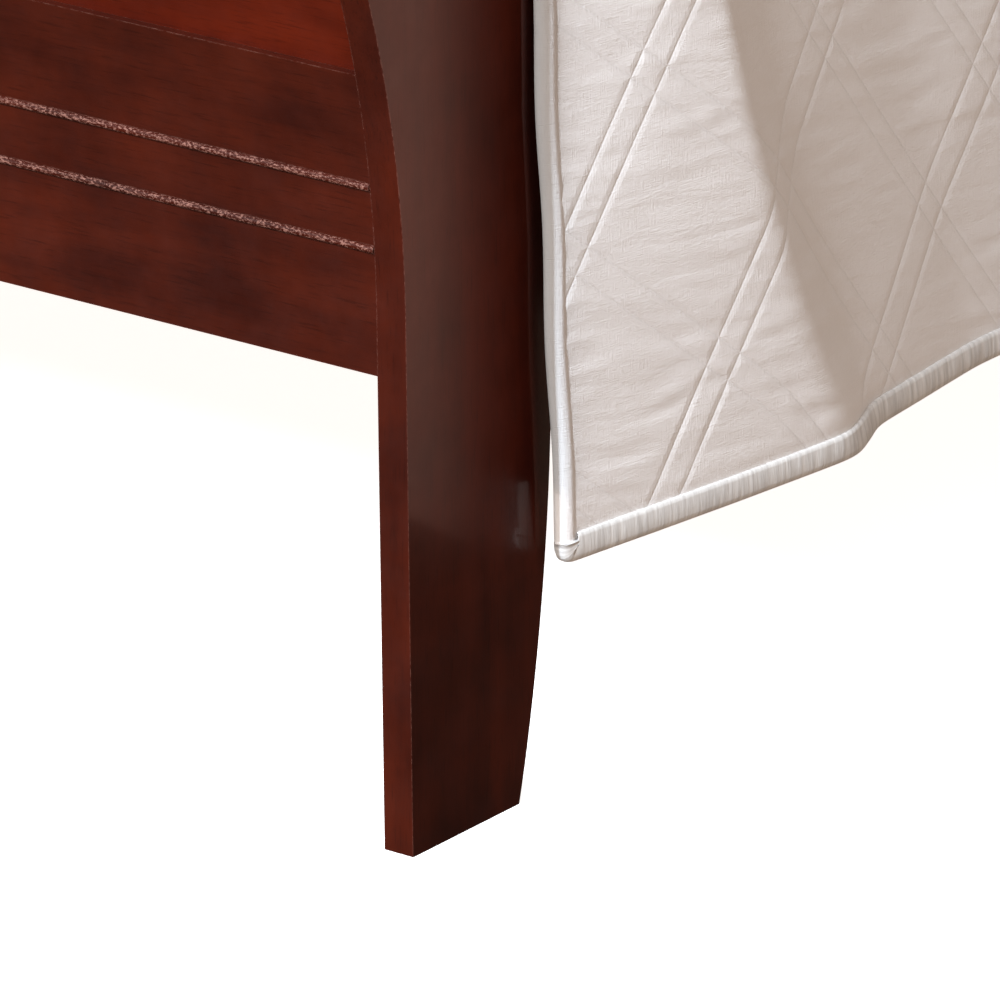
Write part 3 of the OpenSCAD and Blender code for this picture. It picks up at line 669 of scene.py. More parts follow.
# How far the quilt stands out from its even fall along each hem: (y from the foot, outward), in metres
RIGHT_FOLDS = [
    (0.095, -0.0150), (0.112, -0.0135), (0.127, -0.0115), (0.150, -0.0080), (0.190, -0.0020),
    (0.255, 0.0070), (0.320, 0.0150), (0.352, 0.0185), (0.368, 0.0178), (0.385, 0.0110),
    (0.411, -0.0005), (0.460, -0.0055), (0.530, -0.0135), (0.620, -0.012), (0.740, 0.007), (0.792, 0.010),
    (0.850, -0.005), (0.960, -0.013), (1.090, -0.004), (1.180, 0.010), (1.245, -0.002), (1.370, -0.013),
    (1.540, 0.004), (1.600, 0.009), (1.680, -0.006), (1.800, -0.013), (1.978, -0.004),
]
LEFT_FOLDS = [
    (0.095, -0.0150), (0.112, -0.0135), (0.170, -0.006), (0.260, 0.006), (0.305, 0.012),
    (0.370, -0.004), (0.480, -0.013), (0.640, 0.006), (0.700, 0.014), (0.760, -0.001),
    (0.900, -0.013), (1.020, -0.002), (1.120, 0.011), (1.190, -0.004), (1.320, -0.012),
    (1.450, 0.003), (1.530, 0.012), (1.600, -0.003), (1.760, -0.013), (1.978, -0.004),
]
FOLD_START = 0.112
FOLD_LEAN = 0.127
FOLD_LEAN_POWER = 1.5
CREST_AT_HEM = 0.377
FOLD_END = 0.900
FOLD_STEP = 0.002
FOLD_SOFTNESS = 3.5
FOLD_AT_TOP = 0.85
FOLD_GAIN = 0.15
FRONT_STAND_OFF = 0.007
STAND_OFF_FADE = (0.5, 0.8)


def fold_offset(y, fall, folds):
    """Outward offset of a fall at y from the foot, where fall is 0 at its top and 1 at its hem."""
    low = np.clip(fall, 0, 1)
    crest = CREST_AT_HEM - FOLD_LEAN * (1 - low ** FOLD_LEAN_POWER)
    before = FOLD_START + (y - FOLD_START) * (CREST_AT_HEM - FOLD_START) / (crest - FOLD_START)
    after = CREST_AT_HEM + (y - crest) * (FOLD_END - CREST_AT_HEM) / (FOLD_END - crest)
    at_hem = np.where(y < crest, before, np.where(y < FOLD_END, after, y))
    points = np.array(folds)
    fine = np.arange(points[0, 0], points[-1, 0], FOLD_STEP)
    curve = smoothed(np.interp(fine, points[:, 0], points[:, 1]), FOLD_SOFTNESS)
    stand_off = FRONT_STAND_OFF * (1 - low) * (1 - ease(y, *STAND_OFF_FADE))
    return np.interp(at_hem, fine, curve) * (FOLD_AT_TOP + FOLD_GAIN * low) + stand_off


# Heights and widths of the quilting's relief, in metres
DOWN_RELIEF = 0.00013
OVER_RELIEF = 0.00014
ROW_SOFTNESS = 0.0024
PUCKER_RELIEF = 0.00045
PUCKER_SOFTNESS = 0.0015
SOFT_RELIEF = 0.0007
RELIEF_BASE = 0.0012
BEND_RELIEF = 0.004


def row_gap(y, height, family):
    """Distance from the nearest quilting row of one family, as the cotton's material has it."""
    share_y, share_height, first, gap, pitch = family
    along = np.mod(share_y * y + share_height * height - first, pitch)
    return np.minimum(np.minimum(along, pitch - along), np.abs(along - gap))


def stretched(y, turn):
    """y stretched towards the head, as the cotton's material has it."""
    share = np.clip((y - TURN_FROM) / (TURN_BY - TURN_FROM), 0, 1)
    ramp = (TURN_BY - TURN_FROM) * share ** 3 * (1 - share / 2)
    return y + turn * (ramp + np.maximum(0, y - TURN_BY))


def quilting_relief(y, height):
    """Height of the padding between the rows, and the puckers that the stitching pulls."""
    down = row_gap(stretched(y, FOOT_TURN), height, ROWS_DOWN_TO_FOOT)
    over = row_gap(stretched(y, HEAD_TURN), height, ROWS_DOWN_TO_HEAD)
    near = np.minimum(down, over)
    relief = DOWN_RELIEF * (1 - np.exp(-down / ROW_SOFTNESS))
    relief = relief + OVER_RELIEF * (1 - np.exp(-over / ROW_SOFTNESS))
    along = y * math.cos(CREASE_TURN) - height * math.sin(CREASE_TURN)
    across = y * math.sin(CREASE_TURN) + height * math.cos(CREASE_TURN)
    bend = BEND_RELIEF * smooth_noise(along / 0.05, across / 0.05, 1)
    pucker = smooth_noise(along / 0.042, (across + bend) / 0.0085, 2)
    pucker += 0.35 * smooth_noise(along / 0.024, (across + bend) / 0.0055, 3)
    patch = ease(smooth_noise(y / 0.055, height / 0.045, 4), -0.9, 0.3)
    relief += PUCKER_RELIEF * pucker * patch * (1 - np.exp(-near / PUCKER_SOFTNESS))
    relief += SOFT_RELIEF * smooth_noise(y / 0.075, height / 0.110, 5)
    return relief


FRONT_RIPPLE = 0.0010
FRONT_RIPPLES = 17
FRONT_CURVE = 1.2
STEP_FORWARD_Z = (0.545, 0.492)


def front_edge(side_run):
    """y of the quilt's front edge at a run from the middle of the bed."""
    z = np.interp(side_run, SECTION_RUN, SECTION[:, 1])
    fall = np.clip((FALL_Z - z) / (FALL_Z - HEM_Z), 0, 1)
    ripple = FRONT_RIPPLE * np.sin(fall * FRONT_RIPPLES)
    low_edge = FRONT_EDGE_Y + FRONT_EDGE_FLARE * fall ** FRONT_CURVE + ripple
    forward = ease(-z, -STEP_FORWARD_Z[0], -STEP_FORWARD_Z[1])
    return CORNER_CUT_Y * (1 - forward) + low_edge * forward


def column_runs():
    """Runs of the grid's columns from the left hem to the right hem, finest on the right fall."""
    edge = HALF_WIDTH - BINDING_INSET
    top = EDGE_X
    left = np.linspace(-edge, -top, int((edge - top) / SIDE_CELL))
    middle = np.linspace(-top, top, int(2 * top / TOP_CELL))
    right = np.linspace(top, edge, int((edge - top) / FINE_CELL))
    return np.concatenate([left[:-1], middle, right[1:]])


FINE_REACH = 0.47
CELL_GROWTH = 0.03
LONGEST_CELL = 0.010


def row_shares(length):
    """Places of the grid's rows from the front edge to the head edge, finest near the foot."""
    steps = [0.0]
    while steps[-1] < length:
        growth = max(0.0, steps[-1] - FINE_REACH)
        steps.append(steps[-1] + min(FINE_CELL + CELL_GROWTH * growth, LONGEST_CELL))
    rows = np.array(steps)
    return rows / rows[-1]


def quilt_grid():
    """Points, flat coordinates and outward normals of the cloth behind the corner cuts."""
    runs = column_runs()
    side = np.sign(runs)
    x = side * np.interp(np.abs(runs), SECTION_RUN, SECTION[:, 0])
    z = np.interp(np.abs(runs), SECTION_RUN, SECTION[:, 1])
    front = front_edge(np.abs(runs)) + BINDING_INSET
    front = np.where(np.abs(runs) <= EDGE_X, CORNER_CUT_Y + BINDING_INSET, front)
    head = HEAD_EDGE_Y - BINDING_INSET
    share = row_shares(head - FRONT_EDGE_Y)[:, None]
    y = front + (head - front) * share
    points = np.stack([np.broadcast_to(x, y.shape), y, np.broadcast_to(z, y.shape)], axis=2).copy()
    from_foot = y - FOOT_Y
    fall = np.broadcast_to((np.abs(runs) - FALL_RUN) / (HALF_WIDTH - FALL_RUN), y.shape)
    fade = ease(np.abs(runs), EDGE_X, FALL_RUN + 0.03)
    right = fold_offset(from_foot, fall, RIGHT_FOLDS)
    left = fold_offset(from_foot, fall, LEFT_FOLDS)
    points[:, :, 0] += side * fade * np.where(runs > 0, right, left)
    flat = np.stack([from_foot, np.broadcast_to(HEM_Z + HALF_WIDTH - runs, y.shape)], axis=2)
    return runs, points, flat


def keep_clear(points):
    """Keeps the falls outside the posts and the side rails."""
    x = points[:, :, 0]
    out = np.abs(x)
    falls = (out > EDGE_X + EDGE_RADIUS) & (points[:, :, 2] < FALL_Z)
    pressed = POST_CLEAR_X + CLEAR_SOFTNESS * np.log1p(np.exp((out - POST_CLEAR_X) / CLEAR_SOFTNESS))
    points[:, :, 0] = np.where(falls, np.sign(x) * pressed, x)


def tuck_line():
    """The foot of the quilt in (y, z): over the mattress's end and down inside the footboard."""
    arc = edge_arc(FOOT_EDGE_Y, np.linspace(math.pi / 2, math.pi, TUCK_ARC_STEPS))
    end = [[FOOT_EDGE_Y - OUTSIDE_RADIUS, TUCK_Z]]
    line = np.concatenate([[[CORNER_CUT_Y + BINDING_INSET, QUILT_TOP_Z]], arc, end])
    return resampled(line, TUCK_STEP)


def tuck_grid(x):
    """Points and flat y of the flap in front of the corner cuts, from its free edge to the main cloth."""
    line = tuck_line()
    run = run_length(line)
    shape = (len(line), len(x))
    points = np.stack([np.broadcast_to(part, shape) for part in (x, line[:, :1], line[:, 1:])], axis=2)
    flat_y = CORNER_CUT_Y + BINDING_INSET - FOOT_Y - run
    return points[::-1][:-1], flat_y[::-1][:-1]


class Quilt:
    """The cloth's grids: the main one, and the flap tucked down at the foot, which joins its middle."""

    def __init__(self):
        self.runs, main, self.flat = quilt_grid()
        keep_clear(main)
        self.middle = np.flatnonzero(np.abs(self.runs) <= EDGE_X - BINDING_INSET)
        x = main[0, self.middle, 0]
        flap, flap_y = tuck_grid(x)
        heights = self.flat[0, self.middle, 1]
        flat_parts = (flap_y[:, None], heights)
        self.flap_flat = np.stack([np.broadcast_to(p, flap.shape[:2]) for p in flat_parts], axis=2)
        whole = np.concatenate([flap, main[:, self.middle]])
        self.main_normals = -grid_normals(main)
        whole_normals = -grid_normals(whole)
        self.flap_normals = whole_normals[:len(flap)]
        self.main_normals[:4, self.middle] = whole_normals[len(flap):len(flap) + 4]
        self.plain_main, self.plain_flap = main, flap
        self.main = main + self.main_normals * self.relief(self.flat, self.from_edge(main))
        self.flap = flap + self.flap_normals * self.relief(self.flap_flat, EDGE_SINK_END)

    def from_edge(self, main):
        """Distance of the main grid's points from their free edges."""
        sides = (HALF_WIDTH - BINDING_INSET - np.abs(self.runs))[None, :]
        start = np.where(np.abs(self.runs) < EDGE_X, EDGE_SINK_END, FRONT_START)
        front = main[:, :, 1] - main[:1, :, 1] + start
        head = main[-1:, :, 1] - main[:, :, 1]
        return np.minimum(np.minimum(sides, front), head)

    @staticmethod
    def relief(flat, from_edge):
        """The quilting's relief, which sinks under the binding along the free edges."""
        inside = ease(from_edge, EDGE_SINK_START, EDGE_SINK_END)
        relief = (quilting_relief(flat[:, :, 0], flat[:, :, 1]) - RELIEF_BASE) * inside
        return (relief - EDGE_SINK * (1 - inside))[:, :, None]

    def numbers(self, step=1):
        """Vertex numbers of both grids, where the flap's last row meets the main grid's first."""
        rows, columns = self.main.shape[:2]
        main = np.arange(rows * columns).reshape(rows, columns)
        flap = rows * columns + np.arange(len(self.flap) * len(self.middle)).reshape(-1, len(self.middle))
        flap = np.concatenate([flap, main[:1, self.middle]])
        if step == 1:
            return main, flap
        return thinned(main, step), thinned(flap, step)


def thinned(numbers, step):
    """Every so many rows and columns of a grid, with its last ones kept."""
    rows = np.unique(np.append(np.arange(0, numbers.shape[0], step), numbers.shape[0] - 1))
    columns = np.unique(np.append(np.arange(0, numbers.shape[1], step), numbers.shape[1] - 1))
    return numbers[np.ix_(rows, columns)]


def make_quilt_top(quilt):
    main, flap = quilt.numbers()
    points = np.concatenate([quilt.main.reshape(-1, 3), quilt.flap.reshape(-1, 3)])
    flat = np.concatenate([quilt.flat.reshape(-1, 2), quilt.flap_flat.reshape(-1, 2)])
    faces = np.concatenate([grid_faces(main), grid_faces(flap)])[:, ::-1]
    return make_mesh("quilt_top", points, faces, flat, COTTON)


PADDING = 0.0095
BACKING_STEP = 4


def make_quilt_backing(quilt):
    """The plain lining, a padding's thickness inside the top."""
    points = np.concatenate([
        (quilt.plain_main - quilt.main_normals * PADDING).reshape(-1, 3),
        (quilt.plain_flap - quilt.flap_normals * PADDING).reshape(-1, 3)])
    flat = np.concatenate([quilt.flat.reshape(-1, 2), quilt.flap_flat.reshape(-1, 2)])
    faces = np.concatenate([grid_faces(n) for n in quilt.numbers(BACKING_STEP)])
    kept, faces = np.unique(faces, return_inverse=True)
    return make_mesh("quilt_backing", points[kept], faces.reshape(-1, 4), flat[kept], COTTON)


# The binding's section: (inward from the edge, outward from the cloth), once round
BINDING_SECTION = [
    (0.0178, -0.0008), (0.0174, 0.0006), (0.0150, 0.0011), (0.0100, 0.0014), (0.0055, 0.0014),
    (0.0026, 0.0008), (0.0010, -0.0008), (0.0003, -0.0034), (0.0004, -0.0065), (0.0024, -0.0092),
    (0.0060, -0.0104), (0.0120, -0.0106), (0.0170, -0.0102), (0.0174, -0.0090),
]
# The same for the plain hem of the front and foot edges
HEM_SECTION = [
    (0.0120, -0.0020), (0.0114, -0.0006), (0.0080, -0.0003), (0.0050, -0.0010), (0.0022, -0.0026),
    (0.0008, -0.0046), (0.0008, -0.0066), (0.0024, -0.0090), (0.0060, -0.0102),
    (0.0110, -0.0106), (0.0150, -0.0104), (0.0154, -0.0094),
]
BINDING_STEP = 0.0022
BINDING_SOFTNESS = 2.0
CORNER_STEPS = 8
GATHER_HEIGHT = 0.00055
LEAST_GATHER = 0.0002
GATHER_MIDDLE = 0.012
GATHER_REACH = 0.006


def edge_line(points, normals, inner):
    """Edge points with their inward and outward directions, one row each."""
    inward = inner - points
    inward -= normals * np.sum(inward * normals, axis=1, keepdims=True)
    inward /= np.linalg.norm(inward, axis=1, keepdims=True)
    return np.concatenate([points, inward, normals], axis=1)


def joined_edges(edges):
    """One line from several edges, with the inward direction turned evenly at each corner."""
    parts = [edges[0]]
    for edge in edges[1:]:
        last, first = parts[-1][-1], edge[0]
        share = np.linspace(0, 1, CORNER_STEPS + 2)[1:-1, None]
        turn = last + (first - last) * share
        turn[:, 3:6] = last[3:6] * np.cos(share * math.pi / 2) + first[3:6] * np.sin(share * math.pi / 2)
        parts += [turn, edge]
    return np.concatenate(parts)


def binding_line(edges):
    """Even rows of (place, inward, outward) along the binding, with their runs along its rim."""
    line = joined_edges(edges)
    rim = line[:, :3] - BINDING_INSET * line[:, 3:6]
    run = run_length(rim)
    at = np.arange(0, run[-1], BINDING_STEP)
    line = np.stack([np.interp(at, run, column) for column in line.T], axis=1)
    line[:, :9] = smoothed(line[:, :9], BINDING_SOFTNESS)
    for part in (slice(3, 6), slice(6, 9)):
        line[:, part] /= np.linalg.norm(line[:, part], axis=1, keepdims=True)
    return line, at


def make_binding(name, line, at, gathered=False):
    """A gathered satin ribbon or a plain cotton hem, folded over the quilt's edge."""
    section = np.array(BINDING_SECTION if gathered else HEM_SECTION)
    inward = section[:, 0] - BINDING_INSET
    outward = np.broadcast_to(section[:, 1], (len(at), len(section))).copy()
    gather = 0.6 * smooth_noise(at / 0.0040, at * 0, 7) + 0.5 * smooth_noise(at / 0.0085, at * 0, 8)
    strength = GATHER_HEIGHT * ease(smooth_noise(at / 0.06, at * 0, 9), -0.7, 0.5) + LEAST_GATHER
    face = np.exp(-((section[:, 0] - GATHER_MIDDLE) / GATHER_REACH) ** 2) * np.sign(section[:, 1] + 0.004)
    if gathered:
        outward += (gather * strength)[:, None] * face
    points = (
        line[:, None, :3] + line[:, None, 3:6] * inward[None, :, None]
        + line[:, None, 6:9] * outward[:, :, None])
    flat_parts = (at[:, None], run_length(section))
    flat = np.stack([np.broadcast_to(part, outward.shape) for part in flat_parts], axis=2)
    numbers = np.arange(outward.size).reshape(outward.shape)
    numbers = np.concatenate([numbers, numbers[:, :1]], axis=1)
    faces = grid_faces(numbers)
    ends = [numbers[0, :-1][::-1], numbers[-1, :-1]]
    material = SATIN if gathered else PLAIN_COTTON
    return make_mesh(name, points.reshape(-1, 3), faces, flat.reshape(-1, 2), material, ends)


INWARD_ROWS = 3
FRONT_EDGE_END = 0.004


def outer_edges(quilt):
    """The bound edges behind the corner cuts, from the right cut round the head to the left cut."""
    p, n, k = quilt.plain_main, quilt.main_normals, INWARD_ROWS
    outside = np.flatnonzero(np.abs(quilt.runs) > EDGE_X + BINDING_INSET)
    right, left = outside[quilt.runs[outside] > 0], outside[quilt.runs[outside] < 0]
    return [
        edge_line(p[0, right], n[0, right], p[k, right]),
        edge_line(p[:, -1], n[:, -1], p[:, -1 - k]),
        edge_line(p[-1, ::-1], n[-1, ::-1], p[-1 - k, ::-1]),
        edge_line(p[::-1, 0], n[::-1, 0], p[::-1, k]),
        edge_line(p[0, left], n[0, left], p[k, left]),
    ]


def flap_edges(quilt):
    """The bound edges of the flap at the foot."""
    p, n, k = quilt.plain_flap, quilt.flap_normals, INWARD_ROWS
    return [
        edge_line(p[::-1, 0], n[::-1, 0], p[::-1, k]),
        edge_line(p[0], n[0], p[k]),
        edge_line(p[:, -1], n[:, -1], p[:, -1 - k]),
    ]


def front_edge_rows(quilt, line):
    """The binding's rows where its front edges end, just above the hem on either side."""
    low = quilt.plain_main[0, -1, 2] + FRONT_EDGE_END
    above = np.flatnonzero(line[:, 2] > low)
    gaps = np.flatnonzero(np.diff(above) > 1)
    return above[gaps[0]], above[gaps[-1] + 1]


def make_quilt():
    quilt = Quilt()
    top = make_quilt_top(quilt)
    backing = make_quilt_backing(quilt)
    line, at = binding_line(outer_edges(quilt))
    first, last = front_edge_rows(quilt, line)
    right_hem = make_binding("quilt_front_edge_right", line[:first + 1], at[:first + 1])
    left_hem = make_binding("quilt_front_edge_left", line[last:], at[last:])
    binding = make_binding("quilt_edge", line[first:last + 1], at[first:last + 1], gathered=True)
    flap_line, flap_at = binding_line(flap_edges(quilt))
    flap_hem = make_binding("quilt_foot_edge", flap_line, flap_at)
    plain = [right_hem, left_hem, flap_hem]
    for piece in [top, backing, binding] + plain:
        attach(piece, "bedding")
    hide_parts("quilt")
    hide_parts("quilt_binding")


make_quilt()

# ---- Mattress ----

MATTRESS_EDGE = 0.030
MATTRESS_CORNER = 0.060
MATTRESS_CELLS = np.array([50, 66, 14])
BELLY = 0.004
EDGE_PULL = 1.4
TAPE_RADIUS = 0.005
TAPE_INSET = 0.0075
TAPE_STEP = 0.012
TAPE_SIDES = 8
TAPE_CORNER_STEPS = 10


def rounded_square(flat, half, corner):
    """Moves points of a rectangle's rim onto one with round corners."""
    inner = np.clip(flat, -(half - corner), half - corner)
    out = flat - inner
    far = np.abs(out).max(axis=1, keepdims=True)
    length = np.maximum(np.linalg.norm(out, axis=1, keepdims=True), 1e-9)
    return inner + out / length * far


def mattress_points(grid, half):
    """Maps a cube from -1 to 1 onto the mattress, with its corners, edges and crown."""
    points = grid * half
    points[:, :2] = rounded_square(points[:, :2], half[:2], MATTRESS_CORNER)
    rim = np.abs(grid[:, :2]).max(axis=1)
    level = np.abs(points[:, 2])
    into_edge = np.clip(level - (half[2] - MATTRESS_EDGE), 0, None)
    shrink = MATTRESS_EDGE - np.sqrt(np.clip(MATTRESS_EDGE ** 2 - into_edge ** 2, 0, None))
    scale = 1 - (shrink / np.linalg.norm(half[:2]) * EDGE_PULL) * rim
    points[:, :2] *= scale[:, None]
    side = (rim > 0.999) & (level < half[2] - MATTRESS_EDGE)
    belly = BELLY * (1 - (level / (half[2] - MATTRESS_EDGE)) ** 2)
    points[:, :2] *= (1 + np.where(side, -belly, -BELLY) / half[0])[:, None]
    return points


def cube_grid(cells):
    """Points and quads of a cube from -1 to 1, with that many cells along each axis."""
    corners, faces, count = [], [], 0
    for axis in range(3):
        others = [i for i in range(3) if i != axis]
        for sign in (-1, 1):
            a, b = [np.linspace(-1, 1, cells[i] + 1) for i in others]
            grid = np.zeros((len(a), len(b), 3))
            grid[:, :, others[0]] = a[:, None]
            grid[:, :, others[1]] = b[None, :]
            grid[:, :, axis] = sign
            numbers = count + np.arange(len(a) * len(b)).reshape(len(a), len(b))
            quads = grid_faces(numbers)
            turned = (sign > 0) == (axis == 1)
            faces.append(quads[:, ::-1] if turned else quads)
            corners.append(grid.reshape(-1, 3))
            count += numbers.size
    return np.concatenate(corners), np.concatenate(faces)


def make_mattress():
    """The mattress's padded body and its two edge tapes."""
    half = np.array([(a - b) / 2 for a, b in zip(MATTRESS_HIGH, MATTRESS_LOW)])
    centre = np.array([(a + b) / 2 for a, b in zip(MATTRESS_HIGH, MATTRESS_LOW)])
    grid, faces = cube_grid(MATTRESS_CELLS)
    points = mattress_points(grid, half) + centre
    piece = make_mesh("mattress_body", points, faces, material=TICKING)
    weld = piece.modifiers.new("weld", "WELD")
    weld.merge_threshold = WELD_REACH
    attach(piece, "bedding")
    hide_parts("mattress")
    make_tape("mattress_tape_top", MATTRESS_HIGH.z - MATTRESS_EDGE * 0.5, half, centre)
    make_tape("mattress_tape_bottom", MATTRESS_LOW.z + MATTRESS_EDGE * 0.5, half, centre)


def make_tape(name, z, half, centre):
    """A corded edge tape round the mattress."""
    size = half[:2] - TAPE_INSET
    angles = np.linspace(0, math.pi / 2, TAPE_CORNER_STEPS)
    rim = []
    for start, (sx, sy) in enumerate(((1, 1), (-1, 1), (-1, -1), (1, -1))):
        turn = angles + start * math.pi / 2
        middle = np.array([sx, sy]) * (size - MATTRESS_CORNER)
        rim.append(middle + MATTRESS_CORNER * np.stack([np.cos(turn), np.sin(turn)], axis=1))
    rim = resampled(np.concatenate(rim + [rim[0][:1]]), TAPE_STEP)[:-1]
    out = np.roll(rim, -1, axis=0) - np.roll(rim, 1, axis=0)
    out = np.stack([out[:, 1], -out[:, 0]], axis=1) / np.linalg.norm(out, axis=1, keepdims=True)
    round_turns = np.linspace(0, 2 * math.pi, TAPE_SIDES + 1)[:-1]
    flat = rim[:, None, :] + out[:, None, :] * (TAPE_RADIUS * np.cos(round_turns))[None, :, None]
    level = np.broadcast_to(z - centre[2] + TAPE_RADIUS * np.sin(round_turns), flat.shape[:2])
    points = np.concatenate([flat, level[:, :, None]], axis=2) + centre
    numbers = np.arange(flat.shape[0] * flat.shape[1]).reshape(flat.shape[:2])
    numbers = np.concatenate([numbers, numbers[:1]])
    numbers = np.concatenate([numbers, numbers[:, :1]], axis=1)
    piece = make_mesh(name, points.reshape(-1, 3), grid_faces(numbers), material=TICKING)
    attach(piece, "bedding")


make_mattress()

# ---- Floor, lights and background ----

FLOOR_HALF = 80
FLOOR_DARK = (0.86, 0.86, 0.86)
FLOOR_LIGHT = (0.90, 0.90, 0.90)
FLOOR_FINISH = {"Roughness": 0.9, "Emission Color": (1, 1, 1, 1), "Emission Strength": 0.85}
DARK_FLOOR_HALF = 40
DARK_FLOOR_Z = -0.01
DARK_FLOOR_COLOUR = (0.05, 0.035, 0.025)
KEY_AZIMUTH = math.radians(5)
KEY_ELEVATION = math.radians(36)
KEY_DISTANCE = 5.0
KEY_SIZE = 1.6
KEY_POWER = 570
KEY_COLOUR = (0.84, 0.93, 1.03)
FILL_PLACE = Vector((-2.6, 4.2, 3.4))
FILL_AIM = Vector((0, 0, 0.5))
FILL_SIZE = 3
FILL_POWER = 60
LIT_POINT = NEAR_FOOT + Vector((0, 0.2, 0.35))


def level_square(half, z):
    """Corners of a level square round the bed."""
    return [(-half, -half, z), (half, -half, z), (half, half, z), (-half, half, z)]


def make_floor():
    """A plain pale floor that the camera sees, and that colours nothing."""
    mesh = bpy.data.meshes.new("floor")
    mesh.from_pydata(level_square(FLOOR_HALF, 0), [], [(0, 1, 2, 3)])
    material, tree, shader = new_material("floor")
    cloud = noise(tree, object_coordinates(tree), 0.8, 3, 0.5)
    colour = blend(tree, cloud, rgb(*FLOOR_DARK), rgb(*FLOOR_LIGHT))
    tree.links.new(colour, shader.inputs["Base Color"])
    set_finish(shader, FLOOR_FINISH)
    mesh.materials.append(material)
    floor = bpy.data.objects.new("floor", mesh)
    bpy.context.scene.collection.objects.link(floor)
    floor.visible_glossy = False
    floor.visible_diffuse = False


def glow(name, colour):
    """A material that only shines evenly."""
    return lone_shader(name, "ShaderNodeEmission", {"Color": rgb(*colour), "Strength": 1.0})


def stage_mesh(name, points, faces, material, rays):
    """A staged sheet that only some kinds of ray see."""
    mesh = bpy.data.meshes.new(name)
    mesh.from_pydata(points, [], faces)
    mesh.materials.append(material)
    sheet = bpy.data.objects.new(name, mesh)
    bpy.context.scene.collection.objects.link(sheet)
    for kind in ("camera", "diffuse", "glossy", "transmission", "volume_scatter", "shadow"):
        setattr(sheet, "visible_" + kind, kind in rays)


BACKDROP_RADIUS = 75
BACKDROP_HEIGHT = 60
BACKDROP_SIDES = 64
BACKDROP_COLOUR = (0.93, 0.93, 0.93)


def make_backdrop():
    """A pale round wall, seen only by the camera."""
    turns = [2 * math.pi * i / BACKDROP_SIDES for i in range(BACKDROP_SIDES)]
    rings = [(0.0, BACKDROP_RADIUS), (BACKDROP_HEIGHT, BACKDROP_RADIUS)]
    points = [(r * math.cos(t), r * math.sin(t), z) for z, r in rings for t in turns]
    n = BACKDROP_SIDES
    faces = [(i, (i + 1) % n, n + (i + 1) % n, n + i) for i in range(n)]
    faces.append(tuple(range(n, 2 * n)))
    stage_mesh("backdrop", points, faces, glow("backdrop", BACKDROP_COLOUR), ("camera",))


def make_dark_floor():
    """A dark sheet just under the floor that only glossy surfaces reflect."""
    points = level_square(DARK_FLOOR_HALF, DARK_FLOOR_Z)
    material = glow("dark_floor", DARK_FLOOR_COLOUR)
    stage_mesh("dark_floor", points, [(0, 1, 2, 3)], material, ("glossy",))


def add_area(name, place, look_at, size, power, colour=(1, 1, 1)):
    data = bpy.data.lights.new(name, "AREA")
    data.shape = "RECTANGLE"
    data.size = size
    data.size_y = size
    data.energy = power
    data.color = colour
    light = bpy.data.objects.new(name, data)
    bpy.context.scene.collection.objects.link(light)
    light.location = place
    light.rotation_mode = "QUATERNION"
    light.rotation_quaternion = (look_at - place).to_track_quat("-Z", "Y")
    light.visible_camera = False


def make_lights():
    aim = Vector((
        math.sin(KEY_AZIMUTH) * math.cos(KEY_ELEVATION),
        -math.cos(KEY_AZIMUTH) * math.cos(KEY_ELEVATION),
        math.sin(KEY_ELEVATION)))
    key_place = LIT_POINT + aim * KEY_DISTANCE
    add_area("key", key_place, LIT_POINT, KEY_SIZE, KEY_POWER, KEY_COLOUR)
    add_area("fill", FILL_PLACE, FILL_AIM, FILL_SIZE, FILL_POWER)


CARD_DIRECTION = Vector((0.610, 0.793, 0))
CARD_SIDEWAYS = Vector((-0.793, 0.610, 0))
CARD_DISTANCE = 0.16
CARD_TOP = 0.75
CARD_BOTTOM = ((-0.04, 0.150), (0.0, 0.144), (0.0305, 0.129), (0.073, 0.141))
CARD_COLOUR = (1.7, 0.85, 0.66)
CARD_FADE = (-0.004, 0.048)
CARD_DIM = (0.14, 0.34, 0.72, 1.0)


def make_card():
    """A small bright card beside the near post, which only its lacquer reflects."""
    middle = NEAR_FOOT + CARD_DIRECTION * CARD_DISTANCE
    points = []
    for across, low in CARD_BOTTOM:
        for z in (low, CARD_TOP):
            place = middle + CARD_SIDEWAYS * across
            points.append((place.x, place.y, z))
    faces = [(2 * i, 2 * i + 2, 2 * i + 3, 2 * i + 1) for i in range(len(CARD_BOTTOM) - 1)]
    material = glow("card", CARD_COLOUR)
    tree = material.node_tree
    place = add(tree, "ShaderNodeTexCoord").outputs["Object"]
    off = add(tree, "ShaderNodeVectorMath", {0: place, 1: tuple(middle)}, operation="SUBTRACT")
    sideways = {0: off.outputs[0], 1: tuple(CARD_SIDEWAYS)}
    across = add(tree, "ShaderNodeVectorMath", sideways, operation="DOT_PRODUCT")
    fade = spread(tree, across.outputs["Value"], *CARD_FADE, 1.0, 0.0, smooth=True)
    height = add(tree, "ShaderNodeSeparateXYZ", {0: place}).outputs[2]
    dim = spread(tree, height, *CARD_DIM)
    tree.links.new(calc(tree, "MULTIPLY", fade, dim), tree.nodes["Emission"].inputs["Strength"])
    stage_mesh("card", points, faces, material, ("glossy",))


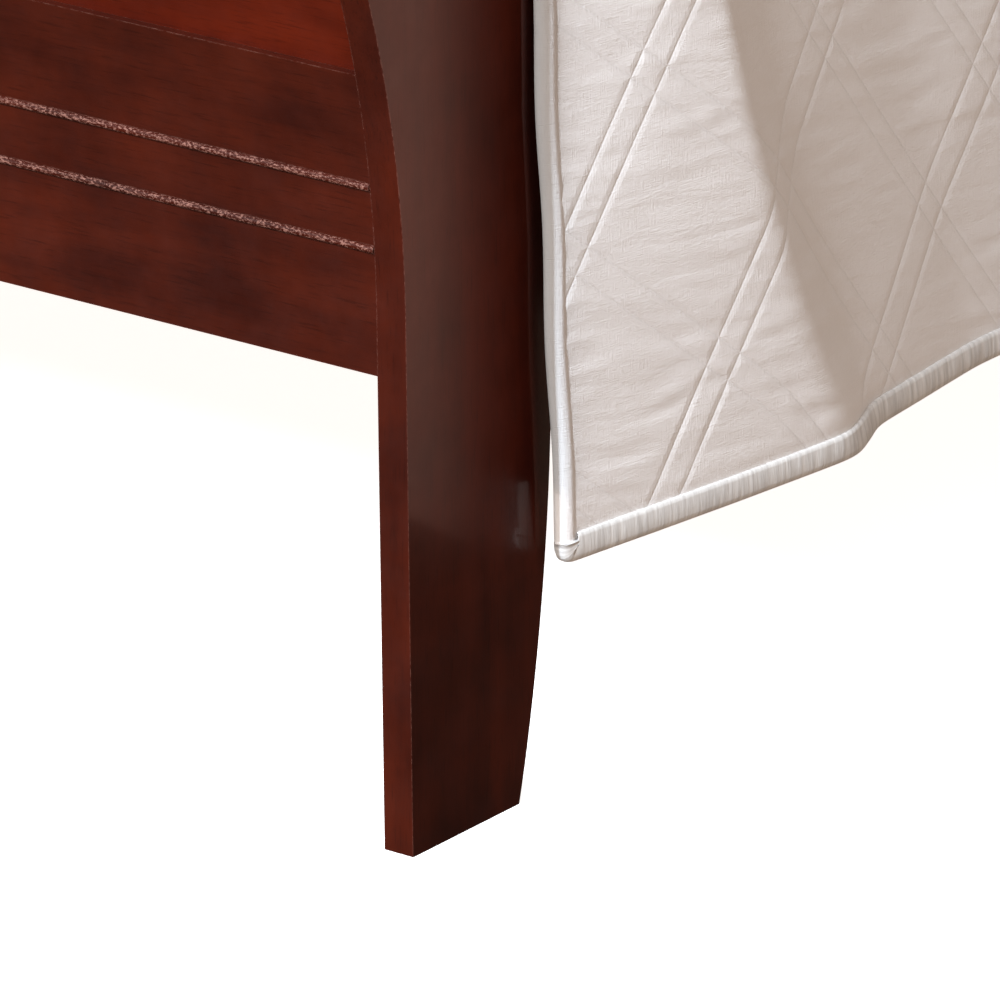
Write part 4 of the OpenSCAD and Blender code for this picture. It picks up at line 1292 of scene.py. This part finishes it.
FLAG_GAP = 0.0015
SCRIM_COLOUR = (0.38, 0.33, 0.29)
FLAG_REACH = ((0.0007, 0.150), (0.0060, 0.190), (0.0300, 0.178))
FLAG_STEPS = 12
FLAG_TOP = 0.600
SCRIM_REACH = ((0.0007, 0.138), (0.0148, 0.138))


def flag_sheet(name, reach, material, rays):
    """A sheet that stands just in front of the quilt's front edge."""
    points = []
    for out, low in reach:
        for step in range(FLAG_STEPS + 1):
            z = low + (FLAG_TOP - low) * step / FLAG_STEPS
            run = np.interp(-z, -SECTION[:, 1], SECTION_RUN)
            points.append((NEAR_FOOT.x + out, float(front_edge(run)) - FLAG_GAP, z))
    rows = FLAG_STEPS + 1
    faces = [
        (rows * i + j, rows * (i + 1) + j, rows * (i + 1) + j + 1, rows * i + j + 1)
        for i in range(len(reach) - 1) for j in range(FLAG_STEPS)]
    stage_mesh(name, points, faces, material, rays)


def make_flags():
    """A black flag that diffuse and glossy rays see, which puts painted shade and a painted dark reflection
    on the post's side and the quilt's edge, and a thin scrim that shades the quilt's edge.
    """
    flag_sheet("post_flag", FLAG_REACH, glow("post_flag", (0, 0, 0)), ("diffuse", "glossy"))
    scrim = lone_shader("edge_scrim", "ShaderNodeBsdfTransparent", {"Color": rgb(*SCRIM_COLOUR)})
    flag_sheet("edge_scrim", SCRIM_REACH, scrim, ("shadow",))


WORLD_LOW = (0.48, 0.36, 0.28)
WORLD_HIGH = (0.55, 0.485, 0.44)
HORIZON_REACH = 0.15


def make_world():
    """Soft studio light from all round, a little cooler from above."""
    world = bpy.data.worlds.new("studio")
    bpy.context.scene.world = world
    world.use_nodes = True
    tree = world.node_tree
    background = tree.nodes["Background"]
    direction = add(tree, "ShaderNodeTexCoord").outputs["Generated"]
    height = add(tree, "ShaderNodeSeparateXYZ", {0: direction}).outputs[2]
    above = spread(tree, height, -HORIZON_REACH, HORIZON_REACH, smooth=True)
    tree.links.new(blend(tree, above, rgb(*WORLD_LOW), rgb(*WORLD_HIGH)), background.inputs[0])
    background.inputs[1].default_value = 1.0


make_floor()
make_backdrop()
make_dark_floor()
make_lights()
make_card()
make_flags()
make_world()
bpy.context.scene.view_settings.view_transform = "Standard"
